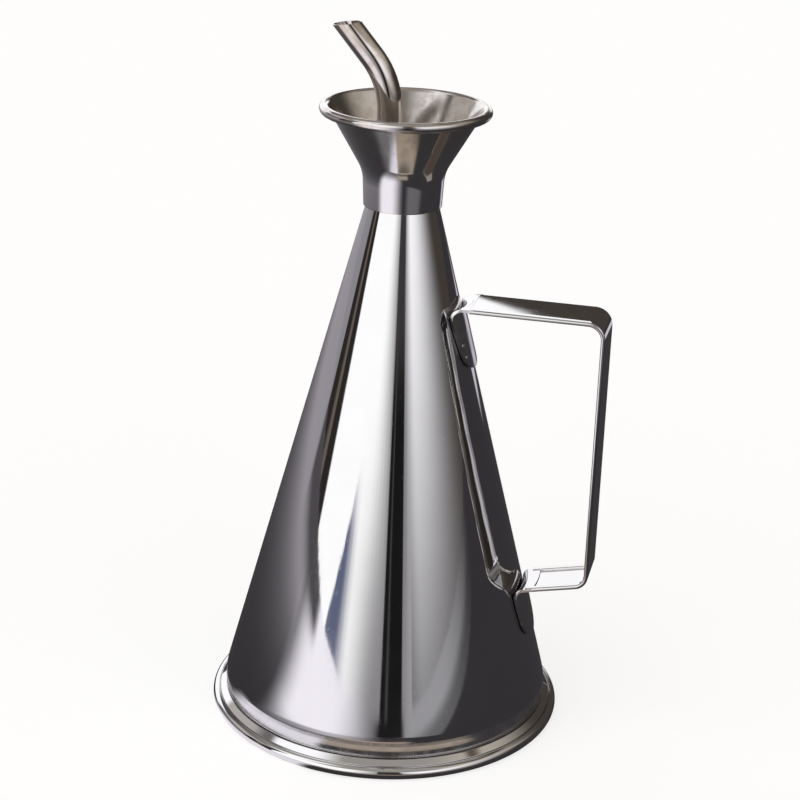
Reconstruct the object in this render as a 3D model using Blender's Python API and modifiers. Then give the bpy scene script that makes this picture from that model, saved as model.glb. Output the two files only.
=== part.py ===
"""Conical stainless steel olive oil cruet with a lift-off drip funnel and a bent pouring spout.

The vessel stands on the plane z = 0 with its axis on Z. The handle lies along +X and the spout
pours towards -X. All lengths are in metres.
"""
import math

import bmesh
import bpy
from mathutils import Vector

MM = 0.001

# Fits shared by every piece
SEAT_GAP = 0.3 * MM
CUT_OVERRUN = 4.0 * MM
WELD_DISTANCE = 0.002 * MM

# Cone of the vessel, measured on its outer face
CONE_WALL = 0.7 * MM
CONE_FOOT_RADIUS = 60.6 * MM
CONE_FOOT_HEIGHT = 17.4 * MM
CONE_THROAT_RADIUS = 13.3 * MM
CONE_THROAT_HEIGHT = 198.6 * MM
CONE_EDGE_HEIGHT = 6.6 * MM
CONE_TUCK_HEIGHT = 4.6 * MM
CONE_TUCK_DEPTH = 1.62 * MM
CONE_TUCK_ROUND_SHARE = 0.755

# Base pan, pressed from sheet with an upturned wall and a stiffening step
PAN_WALL = 0.8 * MM
PAN_WALL_TOP = 9.6 * MM
PAN_CORNER_ROUND = 2.4 * MM
PAN_STEP_INSET = 10.8 * MM
PAN_STEP_WIDTH = 3.2 * MM
PAN_STEP_RISE = 1.2 * MM
PAN_STEP_SLOPE = 1.0 * MM

# Foot ring, a sloping ledge ending in a rolled bead
RING_STAND_OUT = 5.2 * MM
RING_BEAD_RADIUS = 2.3 * MM
RING_WALL = 0.8 * MM
RING_GROOVE_DEPTH = 0.5 * MM
RING_FLAT_WIDTH = 1.0 * MM

# Neck sleeve, welded in the mouth of the cone
SLEEVE_INSET = 1.3 * MM
SLEEVE_WALL = 0.5 * MM
SLEEVE_STAND_UP = 11.4 * MM
SLEEVE_DEPTH = 10.6 * MM

# Seal washer that lies on the neck sleeve's rim
SEAL_THICKNESS = 1.2 * MM
SEAL_OVERHANG = 1.2 * MM
SEAL_ROUND = 0.35 * MM

# Drip cup, a pressed hat that hangs in the neck
CUP_WALL = 0.5 * MM
CUP_DEPTH = 10.5 * MM
CUP_CORNER_ROUND = 1.1 * MM
DRIP_HOLE_RADIUS = 1.0 * MM
DRIP_HOLE_CIRCLE = 6.0 * MM
DRIP_HOLE_COUNT = 5
DRIP_HOLE_STEP_ANGLE = math.radians(30)

# Drip funnel: skirt, flare and rolled rim, measured on the outer face
FUNNEL_WALL = 0.6 * MM
SKIRT_FLARE = 0.55 * MM
FUNNEL_WAIST_ROUND = 15.0 * MM
RIM_STAND_OUT = 14.35 * MM
RIM_RISE = 23.4 * MM
RIM_BEAD_RADIUS = 1.8 * MM
FLARE_ANGLE = math.radians(30.3)

# Spout tube
SPOUT_RADIUS = 4.5 * MM
SPOUT_WALL = 0.5 * MM
SPOUT_TAIL = 2.5 * MM
SPOUT_BEND_RISE = 9.7 * MM
SPOUT_BEND_RADIUS = 30.0 * MM
SPOUT_MOUTH_RISE = 19.4 * MM
SPOUT_ANGLE = math.radians(40.5)
SPOUT_MOUTH_TILT = math.radians(10)

# Handle strap: a strip with hemmed edges and a tab bent down at each end
STRAP_WIDTH = 20.5 * MM
STRAP_WEB = 0.8 * MM
STRAP_HEM_WIDTH = 2.8 * MM
STRAP_EDGE_ROUND = 0.5 * MM
GRIP_STAND_OUT = 17.2 * MM
GRIP_LENGTH = 103.6 * MM
UPPER_ARM_DROP = 33.9 * MM
LOWER_ARM_SLOPE = math.radians(12.1)
UPPER_BEND_RADIUS = 6.5 * MM
LOWER_BEND_RADIUS = 5.5 * MM
TAB_THICKNESS = 1.1 * MM
TAB_BEND_RADIUS = 4.0 * MM
TAB_LEG_LENGTH = 9.0 * MM
TAB_LAP = 3.0 * MM
TAB_FACE_STEP = 0.06 * MM
UPPER_TAB_DROP = 24.5 * MM
LOWER_TAB_DROP = 21.0 * MM
TAB_TAPER = 2.25 * MM
TAB_TIP_ROUND_SHARE = 0.875
TAB_SHOULDER_DROP = 9.0 * MM

# Fineness of the round forms
LARGE_TURN_STEPS = 68
SMALL_TURN_STEPS = 48
ARC_STEPS = 4
BEAD_STEPS = 10
SPOUT_ROUNDNESS = 6


# Sizes that follow from those above
CONE_SLOPE = (CONE_FOOT_RADIUS - CONE_THROAT_RADIUS) / (CONE_THROAT_HEIGHT - CONE_FOOT_HEIGHT)
CONE_ANGLE = math.atan(CONE_SLOPE)
CONE_WALL_ACROSS = CONE_WALL / math.cos(CONE_ANGLE)
EDGE_ON_STRAIGHT = CONE_FOOT_RADIUS + (CONE_FOOT_HEIGHT - CONE_EDGE_HEIGHT) * CONE_SLOPE
CONE_EDGE_RADIUS = EDGE_ON_STRAIGHT - CONE_TUCK_DEPTH
SLEEVE_OUTER_RADIUS = CONE_THROAT_RADIUS - SLEEVE_INSET
SLEEVE_TOP = CONE_THROAT_HEIGHT + SLEEVE_STAND_UP
SLEEVE_BOTTOM = CONE_THROAT_HEIGHT - SLEEVE_DEPTH
CONE_TOP_RADIUS = SLEEVE_OUTER_RADIUS + SEAT_GAP + CONE_WALL_ACROSS
CONE_TOP = CONE_THROAT_HEIGHT + (CONE_THROAT_RADIUS - CONE_TOP_RADIUS) / CONE_SLOPE
SLEEVE_BORE = SLEEVE_OUTER_RADIUS - SLEEVE_WALL
CUP_OUTER_RADIUS = SLEEVE_BORE - SEAT_GAP
CUP_FLOOR_HEIGHT = SLEEVE_TOP - CUP_DEPTH
SEAL_OUTER_RADIUS = SLEEVE_OUTER_RADIUS + SEAL_OVERHANG
SEAL_BOTTOM = SLEEVE_TOP + SEAT_GAP
BRIM_BOTTOM = SEAL_BOTTOM + SEAL_THICKNESS + SEAT_GAP
SKIRT_BOTTOM_RADIUS = CONE_THROAT_RADIUS + SEAT_GAP + FUNNEL_WALL
SKIRT_BOTTOM = CONE_THROAT_HEIGHT
SKIRT_TOP_RADIUS = SKIRT_BOTTOM_RADIUS + SKIRT_FLARE
BRIM_RADIUS = SKIRT_TOP_RADIUS - FUNNEL_WALL - SEAT_GAP
RIM_CENTRE_RADIUS = SKIRT_TOP_RADIUS + RIM_STAND_OUT
RIM_CENTRE_HEIGHT = SLEEVE_TOP + RIM_RISE
SPOUT_OFFSET = CUP_OUTER_RADIUS - CUP_WALL - SEAT_GAP - SPOUT_RADIUS
SPOUT_BEND_HEIGHT = RIM_CENTRE_HEIGHT + SPOUT_BEND_RISE
SPOUT_MOUTH_HEIGHT = SPOUT_BEND_HEIGHT + SPOUT_MOUTH_RISE
SPOUT_MOUTH_REACH = SPOUT_OFFSET + SPOUT_MOUTH_RISE * math.tan(SPOUT_ANGLE)
PAN_OUTER_RADIUS = CONE_EDGE_RADIUS - CONE_WALL - SEAT_GAP
PAN_STEP_RADIUS = PAN_OUTER_RADIUS - PAN_STEP_INSET
RING_OUTER_RADIUS = CONE_EDGE_RADIUS + RING_STAND_OUT
STRAP_HEM_DEPTH = 2 * STRAP_WEB
GRIP_OUTER_REACH = CONE_FOOT_RADIUS + GRIP_STAND_OUT
UPPER_ARM_HEIGHT = CONE_THROAT_HEIGHT - UPPER_ARM_DROP
GRIP_FOOT_HEIGHT = UPPER_ARM_HEIGHT - GRIP_LENGTH
TAB_TIP_WIDTH = STRAP_WIDTH - 2 * TAB_TAPER
SPOUT_SIDES = 2 * SPOUT_ROUNDNESS + 4


def clear_scene():
    """Remove every object, so that the script can be run again."""
    for old in list(bpy.data.objects):
        bpy.data.objects.remove(old, do_unlink=True)


def new_collection(name):
    collection = bpy.data.collections.new(name)
    bpy.context.scene.collection.children.link(collection)
    return collection


def steel(name, colour, roughness, metallic=1.0):
    """A plain Principled material for one piece."""
    material = bpy.data.materials.new(name)
    material.use_nodes = True
    shader = material.node_tree.nodes["Principled BSDF"]
    shader.inputs["Base Color"].default_value = (*colour, 1.0)
    shader.inputs["Roughness"].default_value = roughness
    shader.inputs["Metallic"].default_value = metallic
    material.diffuse_color = (*colour, 1.0)
    return material


def cone_radius(height):
    """Outer radius of the straight part of the cone at a height."""
    return CONE_THROAT_RADIUS + (CONE_THROAT_HEIGHT - height) * CONE_SLOPE


def rounded(corners, radii, steps=ARC_STEPS):
    """A polyline in which each inner corner becomes an arc of its radius."""
    points = [Vector(corners[0])]
    for index, radius in zip(range(1, len(corners) - 1), radii):
        corner = Vector(corners[index])
        back = (Vector(corners[index - 1]) - corner).normalized()
        ahead = (Vector(corners[index + 1]) - corner).normalized()
        half_turn = back.angle(ahead) / 2
        if radius == 0:
            points.append(corner)
            continue
        centre = corner + (back + ahead).normalized() * (radius / math.sin(half_turn))
        first = corner + back * (radius / math.tan(half_turn)) - centre
        last = corner + ahead * (radius / math.tan(half_turn)) - centre
        sweep = first.angle_signed(last)
        for step in range(steps + 1):
            turn = -sweep * step / steps
            cosine, sine = math.cos(turn), math.sin(turn)
            spoke = Vector((first.x * cosine - first.y * sine, first.x * sine + first.y * cosine))
            points.append(centre + spoke)
    points.append(Vector(corners[-1]))
    return points


def offset_line(line, distance):
    """The line moved sideways, to the right of its direction for a positive distance."""
    moved = []
    for index, point in enumerate(line):
        before = (point - line[index - 1]).normalized() if index else None
        after = (line[index + 1] - point).normalized() if index + 1 < len(line) else None
        before = before or after
        after = after or before
        along = (before + after).normalized()
        side = Vector((along.y, -along.x))
        moved.append(point + side * (distance / along.dot(after)))
    return moved


def sheet(line, thickness):
    """Closed outline of a sheet whose face is the line, thickened to its right side."""
    return line + list(reversed(offset_line(line, thickness)))


def turned(name, outline, steps, collection, material=None, closed=True):
    """Turn an outline of (radius, height) points about Z. It runs down its outer side."""
    mesh = bpy.data.meshes.new(name)
    count = len(outline)
    edges = [(index, index + 1) for index in range(count - 1)]
    if closed:
        edges.append((count - 1, 0))
    mesh.from_pydata([(point[0], 0, point[1]) for point in outline], edges, [])
    piece = bpy.data.objects.new(name, mesh)
    collection.objects.link(piece)
    screw = piece.modifiers.new("turn", "SCREW")
    screw.axis = "Z"
    screw.angle = 2 * math.pi
    screw.steps = steps
    screw.render_steps = steps
    screw.use_merge_vertices = True
    screw.merge_threshold = WELD_DISTANCE
    screw.use_smooth_shade = True
    if material:
        mesh.materials.append(material)
    return piece


def new_curve(name, points, collection, dimensions="3D"):
    """A straight-segment curve through the points."""
    curve = bpy.data.curves.new(name, "CURVE")
    curve.dimensions = dimensions
    spline = curve.splines.new("POLY")
    spline.points.add(len(points) - 1)
    for target, point in zip(spline.points, points):
        target.co = (*point, 1.0)
    piece = bpy.data.objects.new(name, curve)
    collection.objects.link(piece)
    return piece


def solid_from_curve(piece, collection, material=None):
    """Replace a curve by the closed mesh that it shows."""
    bpy.context.view_layer.update()
    name = piece.name
    depsgraph = bpy.context.evaluated_depsgraph_get()
    mesh = bpy.data.meshes.new_from_object(piece.evaluated_get(depsgraph))
    builder = bmesh.new()
    builder.from_mesh(mesh)
    bmesh.ops.remove_doubles(builder, verts=builder.verts, dist=WELD_DISTANCE)
    bmesh.ops.recalc_face_normals(builder, faces=builder.faces)
    builder.to_mesh(mesh)
    builder.free()
    placed = piece.matrix_world.copy()
    bpy.data.objects.remove(piece, do_unlink=True)
    mesh.name = name
    mesh.materials.clear()
    if material:
        mesh.materials.append(material)
    solid = bpy.data.objects.new(name, mesh)
    solid.matrix_world = placed
    collection.objects.link(solid)
    return solid


def as_cutter(piece):
    piece.hide_render = True
    piece.display_type = "WIRE"
    return piece


def boolean(piece, tool, operation):
    step = piece.modifiers.new(operation.lower(), "BOOLEAN")
    step.operation = operation
    step.solver = "EXACT"
    step.object = tool
    return step


def shade_round(piece):
    """Smooth faces with sharp edges kept, for a piece that is a mesh already."""
    piece.data.shade_smooth()
    piece.data.set_sharp_from_angle(angle=math.radians(35))


def cone_shell(parts):
    """Polished cone, tucked in at its foot where it meets the base."""
    corner_height = CONE_EDGE_HEIGHT + CONE_TUCK_HEIGHT
    corner_radius = cone_radius(corner_height)
    tuck_in = corner_radius - CONE_EDGE_RADIUS
    half_turn = (CONE_ANGLE + math.atan(tuck_in / CONE_TUCK_HEIGHT)) / 2
    tuck_length = math.hypot(tuck_in, CONE_TUCK_HEIGHT)
    tuck_round = CONE_TUCK_ROUND_SHARE * tuck_length / math.tan(half_turn)
    line = rounded(
        [
            (CONE_TOP_RADIUS, CONE_TOP),
            (corner_radius, corner_height),
            (CONE_EDGE_RADIUS, CONE_EDGE_HEIGHT),
        ],
        [tuck_round],
    )
    material = steel("cone_steel", (0.66, 0.65, 0.64), 0.06)
    return turned("cone_shell", sheet(line, CONE_WALL), LARGE_TURN_STEPS, parts, material)


def base_pan(parts):
    """Flat base with a stiffening step and a wall that fits inside the cone's edge."""
    step_outer = PAN_STEP_RADIUS + PAN_STEP_WIDTH
    face = rounded(
        [
            (PAN_OUTER_RADIUS, PAN_WALL_TOP),
            (PAN_OUTER_RADIUS, 0),
            (step_outer + PAN_STEP_SLOPE, 0),
            (step_outer, PAN_STEP_RISE),
            (PAN_STEP_RADIUS, PAN_STEP_RISE),
            (PAN_STEP_RADIUS - PAN_STEP_SLOPE, 0),
            (0, 0),
        ],
        [PAN_CORNER_ROUND, 0, 0, 0, 0],
        steps=3,
    )
    inner = offset_line(face, PAN_WALL)
    outline = list(reversed(inner)) + face
    material = steel("pan_steel", (0.58, 0.57, 0.56), 0.2)
    return turned("base_pan", outline, LARGE_TURN_STEPS, parts, material, closed=False)


def foot_ring(parts):
    """Ledge under the cone's edge, a groove, and the rolled bead that the cruet stands on."""
    bead_radius = RING_OUTER_RADIUS - RING_BEAD_RADIUS
    ledge_top = CONE_EDGE_HEIGHT - SEAT_GAP
    inner_radius = PAN_OUTER_RADIUS + SEAT_GAP
    groove_radius = bead_radius - RING_GROOVE_DEPTH
    bead_top = 2 * RING_BEAD_RADIUS
    half_flat = RING_FLAT_WIDTH / 2
    drop = math.sqrt(RING_BEAD_RADIUS ** 2 - half_flat ** 2)
    first = math.radians(90)
    last = -math.pi / 2 + math.asin(half_flat / RING_BEAD_RADIUS)
    bead = []
    for step in range(BEAD_STEPS + 1):
        angle = first + (last - first) * step / BEAD_STEPS
        height = drop + RING_BEAD_RADIUS * math.sin(angle)
        bead.append((bead_radius + RING_BEAD_RADIUS * math.cos(angle), max(height, 0)))
    outline = [
        (inner_radius, ledge_top),
        (CONE_EDGE_RADIUS + SEAT_GAP, ledge_top),
        (groove_radius, bead_top),
        (groove_radius, bead_top - RING_GROOVE_DEPTH),
        *bead,
        (bead_radius - half_flat, 0),
        (bead_radius - RING_BEAD_RADIUS / math.sqrt(2), drop - RING_BEAD_RADIUS / math.sqrt(2)),
        (bead_radius - RING_BEAD_RADIUS, drop),
        (CONE_EDGE_RADIUS, ledge_top - RING_WALL),
        (inner_radius, ledge_top - RING_WALL),
    ]
    material = steel("ring_steel", (0.68, 0.67, 0.66), 0.1)
    return turned("foot_ring", outline, LARGE_TURN_STEPS, parts, material)


def neck_sleeve(parts):
    """Plain cylinder welded in the cone's mouth, which carries the lift-off pourer."""
    outline = [
        (SLEEVE_OUTER_RADIUS, SLEEVE_TOP),
        (SLEEVE_OUTER_RADIUS, SLEEVE_BOTTOM),
        (SLEEVE_BORE, SLEEVE_BOTTOM),
        (SLEEVE_BORE, SLEEVE_TOP),
    ]
    material = steel("sleeve_steel", (0.6, 0.59, 0.58), 0.18)
    return turned("neck_sleeve", outline, SMALL_TURN_STEPS, parts, material)


def seal_ring(parts):
    """Soft washer round the cup, between the neck's rim and the cup's brim."""
    inner = CUP_OUTER_RADIUS + SEAT_GAP
    top = SEAL_BOTTOM + SEAL_THICKNESS
    corners = [
        ((inner + SEAL_OUTER_RADIUS) / 2, top),
        (SEAL_OUTER_RADIUS, top),
        (SEAL_OUTER_RADIUS, SEAL_BOTTOM),
        (inner, SEAL_BOTTOM),
        (inner, top),
        ((inner + SEAL_OUTER_RADIUS) / 2, top),
    ]
    outline = rounded(corners, [SEAL_ROUND] * 4, steps=1)[:-1]
    material = steel("seal_silicone", (0.82, 0.82, 0.8), 0.5, metallic=0.0)
    return turned("seal_ring", outline, SMALL_TURN_STEPS, parts, material)


def drip_cup(parts, cutters):
    """Pressed hat: brim on the seal, wall in the neck, and a floor with the drip holes."""
    brim_top = BRIM_BOTTOM + CUP_WALL
    face = rounded(
        [
            (BRIM_RADIUS, BRIM_BOTTOM),
            (CUP_OUTER_RADIUS, BRIM_BOTTOM),
            (CUP_OUTER_RADIUS, CUP_FLOOR_HEIGHT),
            (0, CUP_FLOOR_HEIGHT),
        ],
        [0, CUP_CORNER_ROUND],
        steps=3,
    )
    upper = [
        (0, CUP_FLOOR_HEIGHT + CUP_WALL),
        *reversed(offset_line(face, CUP_WALL)[2:-1]),
        (CUP_OUTER_RADIUS - CUP_WALL, brim_top),
        (BRIM_RADIUS, brim_top),
    ]
    material = steel("cup_steel", (0.62, 0.6, 0.57), 0.14)
    cup = turned("drip_cup", upper + face, SMALL_TURN_STEPS, parts, material, closed=False)
    cut_depth = CUP_WALL + 2 * CUT_OVERRUN
    centre_height = CUP_FLOOR_HEIGHT + CUP_WALL / 2
    holes = [("spout_hole_cut", -SPOUT_OFFSET, 0, SPOUT_RADIUS + SEAT_GAP, 24)]
    for index in range(DRIP_HOLE_COUNT):
        angle = (index - (DRIP_HOLE_COUNT - 1) / 2) * DRIP_HOLE_STEP_ANGLE
        place_x = DRIP_HOLE_CIRCLE * math.cos(angle)
        place_y = DRIP_HOLE_CIRCLE * math.sin(angle)
        holes.append((f"drip_hole_cut_{index + 1}", place_x, place_y, DRIP_HOLE_RADIUS, 10))
    for name, place_x, place_y, radius, sides in holes:
        mesh = bpy.data.meshes.new(name)
        builder = bmesh.new()
        bmesh.ops.create_cone(
            builder, cap_ends=True, segments=sides, radius1=radius, radius2=radius, depth=cut_depth
        )
        builder.to_mesh(mesh)
        builder.free()
        cutter = bpy.data.objects.new(name, mesh)
        cutter.location = (place_x, place_y, centre_height)
        cutters.objects.link(as_cutter(cutter))
        boolean(cup, cutter, "DIFFERENCE")
    return cup


def drip_funnel(parts):
    """Skirt over the neck, waist, flare and a rim rolled outwards over a bead."""
    tangent = math.pi - FLARE_ANGLE
    sheet_side = math.acos((RIM_BEAD_RADIUS - FUNNEL_WALL) / RIM_BEAD_RADIUS)
    last = tangent + sheet_side - 2 * math.pi
    bead = []
    for step in range(BEAD_STEPS + 1):
        angle = tangent + (last - tangent) * step / BEAD_STEPS
        bead.append(
            (
                RIM_CENTRE_RADIUS + RIM_BEAD_RADIUS * math.cos(angle),
                RIM_CENTRE_HEIGHT + RIM_BEAD_RADIUS * math.sin(angle),
            )
        )
    rise = (bead[-1][0] - SKIRT_TOP_RADIUS) / math.tan(FLARE_ANGLE)
    waist_height = bead[-1][1] - rise
    face = rounded(
        [bead[-1], (SKIRT_TOP_RADIUS, waist_height), (SKIRT_BOTTOM_RADIUS, SKIRT_BOTTOM)],
        [FUNNEL_WAIST_ROUND],
    )
    inner = offset_line(face, FUNNEL_WALL)
    outline = bead + face[1:] + list(reversed(inner[1:]))
    material = steel("funnel_steel", (0.64, 0.61, 0.57), 0.08)
    return turned("drip_funnel", outline, SMALL_TURN_STEPS, parts, material)


def spout_line(tail_extra, mouth_extra):
    """Centre line of the spout in the plane of the handle, from its tail to its mouth."""
    tail = CUP_FLOOR_HEIGHT - SPOUT_TAIL - tail_extra
    rise = SPOUT_MOUTH_RISE + mouth_extra * math.cos(SPOUT_ANGLE)
    corners = [
        (-SPOUT_OFFSET, tail),
        (-SPOUT_OFFSET, SPOUT_BEND_HEIGHT),
        (-SPOUT_OFFSET - rise * math.tan(SPOUT_ANGLE), SPOUT_BEND_HEIGHT + rise),
    ]
    return [(point.x, 0, point.y) for point in rounded(corners, [SPOUT_BEND_RADIUS], steps=9)]


def spout_tube(parts, cutters):
    """Bent tube, bored through and cut level at its mouth."""
    beyond = 2 * SPOUT_RADIUS
    outer = new_curve("spout_tube", spout_line(0, beyond), parts)
    outer.data.bevel_depth = SPOUT_RADIUS
    outer.data.bevel_resolution = SPOUT_ROUNDNESS
    outer.data.use_fill_caps = True
    material = steel("spout_steel", (0.62, 0.59, 0.55), 0.07)
    tube = solid_from_curve(outer, parts, material)
    bore = new_curve("spout_bore_cut", spout_line(CUT_OVERRUN, beyond + CUT_OVERRUN), cutters)
    bore.data.bevel_depth = SPOUT_RADIUS - SPOUT_WALL
    bore.data.bevel_resolution = SPOUT_ROUNDNESS
    bore.data.use_fill_caps = True
    # The bore is turned by half a facet, so that its edges miss the edges of the tube's end
    for point in bore.data.splines[0].points:
        point.tilt = math.pi / SPOUT_SIDES
    boolean(tube, as_cutter(solid_from_curve(bore, cutters)), "DIFFERENCE")
    bpy.ops.mesh.primitive_cube_add(size=1)
    mouth = bpy.context.object
    mouth.name = "spout_mouth_cut"
    for owner in list(mouth.users_collection):
        owner.objects.unlink(mouth)
    cutters.objects.link(as_cutter(mouth))
    block = 6 * SPOUT_RADIUS
    mouth.scale = (block, block, block)
    mouth.rotation_euler = (0, -SPOUT_MOUTH_TILT, 0)
    lift = Vector((-math.sin(SPOUT_MOUTH_TILT), 0, math.cos(SPOUT_MOUTH_TILT))) * (block / 2)
    mouth.location = Vector((-SPOUT_MOUTH_REACH, 0, SPOUT_MOUTH_HEIGHT)) + lift
    boolean(tube, mouth, "DIFFERENCE")
    shade_round(tube)
    return tube


def strap_section():
    """Cross-section of the strip: flat outside, with a folded hem along each inner edge."""
    half = STRAP_WIDTH / 2
    hem = half - STRAP_HEM_WIDTH
    corners = [
        (0, 0),
        (half, 0),
        (half, STRAP_HEM_DEPTH),
        (hem, STRAP_HEM_DEPTH),
        (hem, STRAP_WEB),
        (-hem, STRAP_WEB),
        (-hem, STRAP_HEM_DEPTH),
        (-half, STRAP_HEM_DEPTH),
        (-half, 0),
        (0, 0),
    ]
    round_edge = STRAP_EDGE_ROUND
    radii = [round_edge, round_edge, 0, 0, 0, 0, round_edge, round_edge]
    return rounded(corners, radii, steps=2)[:-1]


def lower_arm_height(reach):
    """Height of the lower arm's outer face at a distance from the axis."""
    return GRIP_FOOT_HEIGHT - (GRIP_OUTER_REACH - reach) * math.tan(LOWER_ARM_SLOPE)


def tab_line(start, arm_slope, drop):
    """Back face of a tab: along the arm, round the bend, down the cone and past the tab's tip."""
    start_reach, start_height = start
    gap_across = SEAT_GAP / math.cos(CONE_ANGLE)
    fall = CONE_THROAT_RADIUS + gap_across + (CONE_THROAT_HEIGHT - start_height) * CONE_SLOPE
    both_slopes = arm_slope * CONE_SLOPE
    corner_reach = (fall + start_reach * both_slopes) / (1 + both_slopes)
    corner_height = start_height - (start_reach - corner_reach) * arm_slope
    fall_length = drop + CUT_OVERRUN
    end = (corner_reach + fall_length * CONE_SLOPE, corner_height - fall_length)
    return rounded([start, (corner_reach, corner_height), end], [TAB_BEND_RADIUS])


def tab_reach(height, slope):
    """Distance from the axis at which a tab's arm leaves its bend, for a face at a height."""
    return cone_radius(height) + TAB_LEG_LENGTH * math.cos(slope)


def strap_tab(name, face, cutters):
    """A tab turned about the cruet's axis, so that it lies on the cone, cut to a tongue."""
    band = turned(name, sheet(face, -TAB_THICKNESS)[::-1], LARGE_TURN_STEPS, cutters)
    half = STRAP_WIDTH / 2 - TAB_FACE_STEP
    tip = TAB_TIP_WIDTH / 2
    top = face[0].y + 3 * TAB_THICKNESS
    foot = face[-1].y + CUT_OVERRUN
    shoulder = max(face[0].y, face[1].y) - TAB_SHOULDER_DROP
    corners = [
        (0, top),
        (half, top),
        (half, shoulder),
        (tip, foot),
        (-tip, foot),
        (-half, shoulder),
        (-half, top),
        (0, top),
    ]
    round_tip = TAB_TIP_ROUND_SHARE * tip
    outline = rounded(corners, [0, TAB_SHOULDER_DROP, round_tip, round_tip, TAB_SHOULDER_DROP, 0])
    tongue = new_curve(f"{name}_outline", [(p.x, p.y, 0) for p in outline[:-1]], cutters, "2D")
    tongue.data.splines[0].use_cyclic_u = True
    tongue.data.fill_mode = "BOTH"
    tongue.data.extrude = GRIP_OUTER_REACH / 2
    tongue.rotation_euler = (math.pi / 2, 0, math.pi / 2)
    tongue.location = (GRIP_OUTER_REACH / 2, 0, 0)
    solid = as_cutter(solid_from_curve(tongue, cutters))
    boolean(band, solid, "INTERSECT")
    return as_cutter(band)


def handle_strap(parts, cutters):
    """Bent strip with hemmed edges, joined to the two tabs that are welded to the cone."""
    upper_start = (tab_reach(UPPER_ARM_HEIGHT, 0) - TAB_LAP, UPPER_ARM_HEIGHT)
    lower_reach = tab_reach(GRIP_FOOT_HEIGHT, LOWER_ARM_SLOPE) - TAB_LAP
    path = rounded(
        [
            upper_start,
            (GRIP_OUTER_REACH, UPPER_ARM_HEIGHT),
            (GRIP_OUTER_REACH, GRIP_FOOT_HEIGHT),
            (lower_reach, lower_arm_height(lower_reach)),
        ],
        [UPPER_BEND_RADIUS, LOWER_BEND_RADIUS],
    )
    section = new_curve("strap_section", [(p.y, p.x, 0) for p in strap_section()], cutters, "2D")
    section.data.splines[0].use_cyclic_u = True
    strip = new_curve("handle_strap", [(p.x, p.y, 0) for p in path], parts, "2D")
    strip.data.bevel_mode = "OBJECT"
    strip.data.bevel_object = section
    strip.data.use_fill_caps = True
    strip.rotation_euler = (math.pi / 2, 0, 0)
    material = steel("strap_steel", (0.56, 0.55, 0.54), 0.12)
    strap = solid_from_curve(strip, parts, material)
    bpy.data.objects.remove(section, do_unlink=True)

    step = Vector((0, -TAB_FACE_STEP))
    upper_leg = (tab_reach(UPPER_ARM_HEIGHT, 0), UPPER_ARM_HEIGHT)
    upper_face = [p + step for p in tab_line(upper_leg, 0, UPPER_TAB_DROP)]
    upper = strap_tab("upper_tab", upper_face, cutters)
    lower_end = tab_reach(GRIP_FOOT_HEIGHT, LOWER_ARM_SLOPE)
    rise = (TAB_THICKNESS + TAB_FACE_STEP) / math.cos(LOWER_ARM_SLOPE)
    lower_leg = (lower_end, lower_arm_height(lower_end) + rise)
    lower_face = tab_line(lower_leg, math.tan(LOWER_ARM_SLOPE), LOWER_TAB_DROP)
    lower = strap_tab("lower_tab", lower_face, cutters)
    boolean(strap, upper, "UNION")
    boolean(strap, lower, "UNION")
    shade_round(strap)
    return strap


def lift_off_pourer(pieces, parts):
    """Gather the lift-off pieces under one empty on the neck's axis."""
    holder = bpy.data.objects.new("pourer_axis", None)
    holder.location = (0, 0, SLEEVE_TOP)
    holder.empty_display_size = SLEEVE_OUTER_RADIUS
    parts.objects.link(holder)
    bpy.context.view_layer.update()
    for piece in pieces:
        piece.parent = holder
        piece.matrix_parent_inverse = holder.matrix_world.inverted()


def main():
    clear_scene()
    parts = new_collection("olive_oil_cruet")
    cutters = new_collection("cutters")
    cone_shell(parts)
    base_pan(parts)
    foot_ring(parts)
    neck_sleeve(parts)
    handle_strap(parts, cutters)
    pourer = [
        seal_ring(parts),
        drip_cup(parts, cutters),
        drip_funnel(parts),
        spout_tube(parts, cutters),
    ]
    lift_off_pourer(pourer, parts)


main()
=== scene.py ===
"""Looks of a conical steel oil cruet: its pieces, their finishes, the studio and the camera.

The cruet stands on z = 0 with its axis on Z. The handle lies along +X and the spout pours towards
-X. Lengths are in metres.
"""

import math

import bpy
from mathutils import Matrix, Vector


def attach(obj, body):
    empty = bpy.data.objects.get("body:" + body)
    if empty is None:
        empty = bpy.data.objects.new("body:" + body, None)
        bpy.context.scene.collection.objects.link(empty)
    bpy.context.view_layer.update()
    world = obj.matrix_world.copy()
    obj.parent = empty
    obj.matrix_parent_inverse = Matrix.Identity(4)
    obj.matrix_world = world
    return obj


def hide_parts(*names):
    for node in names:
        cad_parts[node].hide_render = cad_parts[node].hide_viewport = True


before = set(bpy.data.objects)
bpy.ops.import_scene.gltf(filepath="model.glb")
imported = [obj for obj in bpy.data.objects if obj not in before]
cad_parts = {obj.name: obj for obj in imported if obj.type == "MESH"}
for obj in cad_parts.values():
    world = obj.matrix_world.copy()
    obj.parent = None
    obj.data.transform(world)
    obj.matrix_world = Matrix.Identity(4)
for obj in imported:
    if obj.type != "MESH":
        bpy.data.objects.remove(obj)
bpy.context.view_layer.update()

MM = 0.001

# Fineness of the round pieces, and how close to a corner its holding row of points lies
BODY_SIDES = 192
NECK_SIDES = 128
TUBE_SIDES = 64
ARC_STEP = math.radians(6)
HOLD = 0.4 * MM

# Limits that several pieces share, and the gap left between neighbours
SAME_POINT = 0.002 * MM
ROUNDING = 1e-9
ON_LINE = 0.1 * MM
SHARP_CORNER = math.radians(50)
SMOOTH_CORNER = math.radians(40)
GAP = 0.3 * MM

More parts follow.
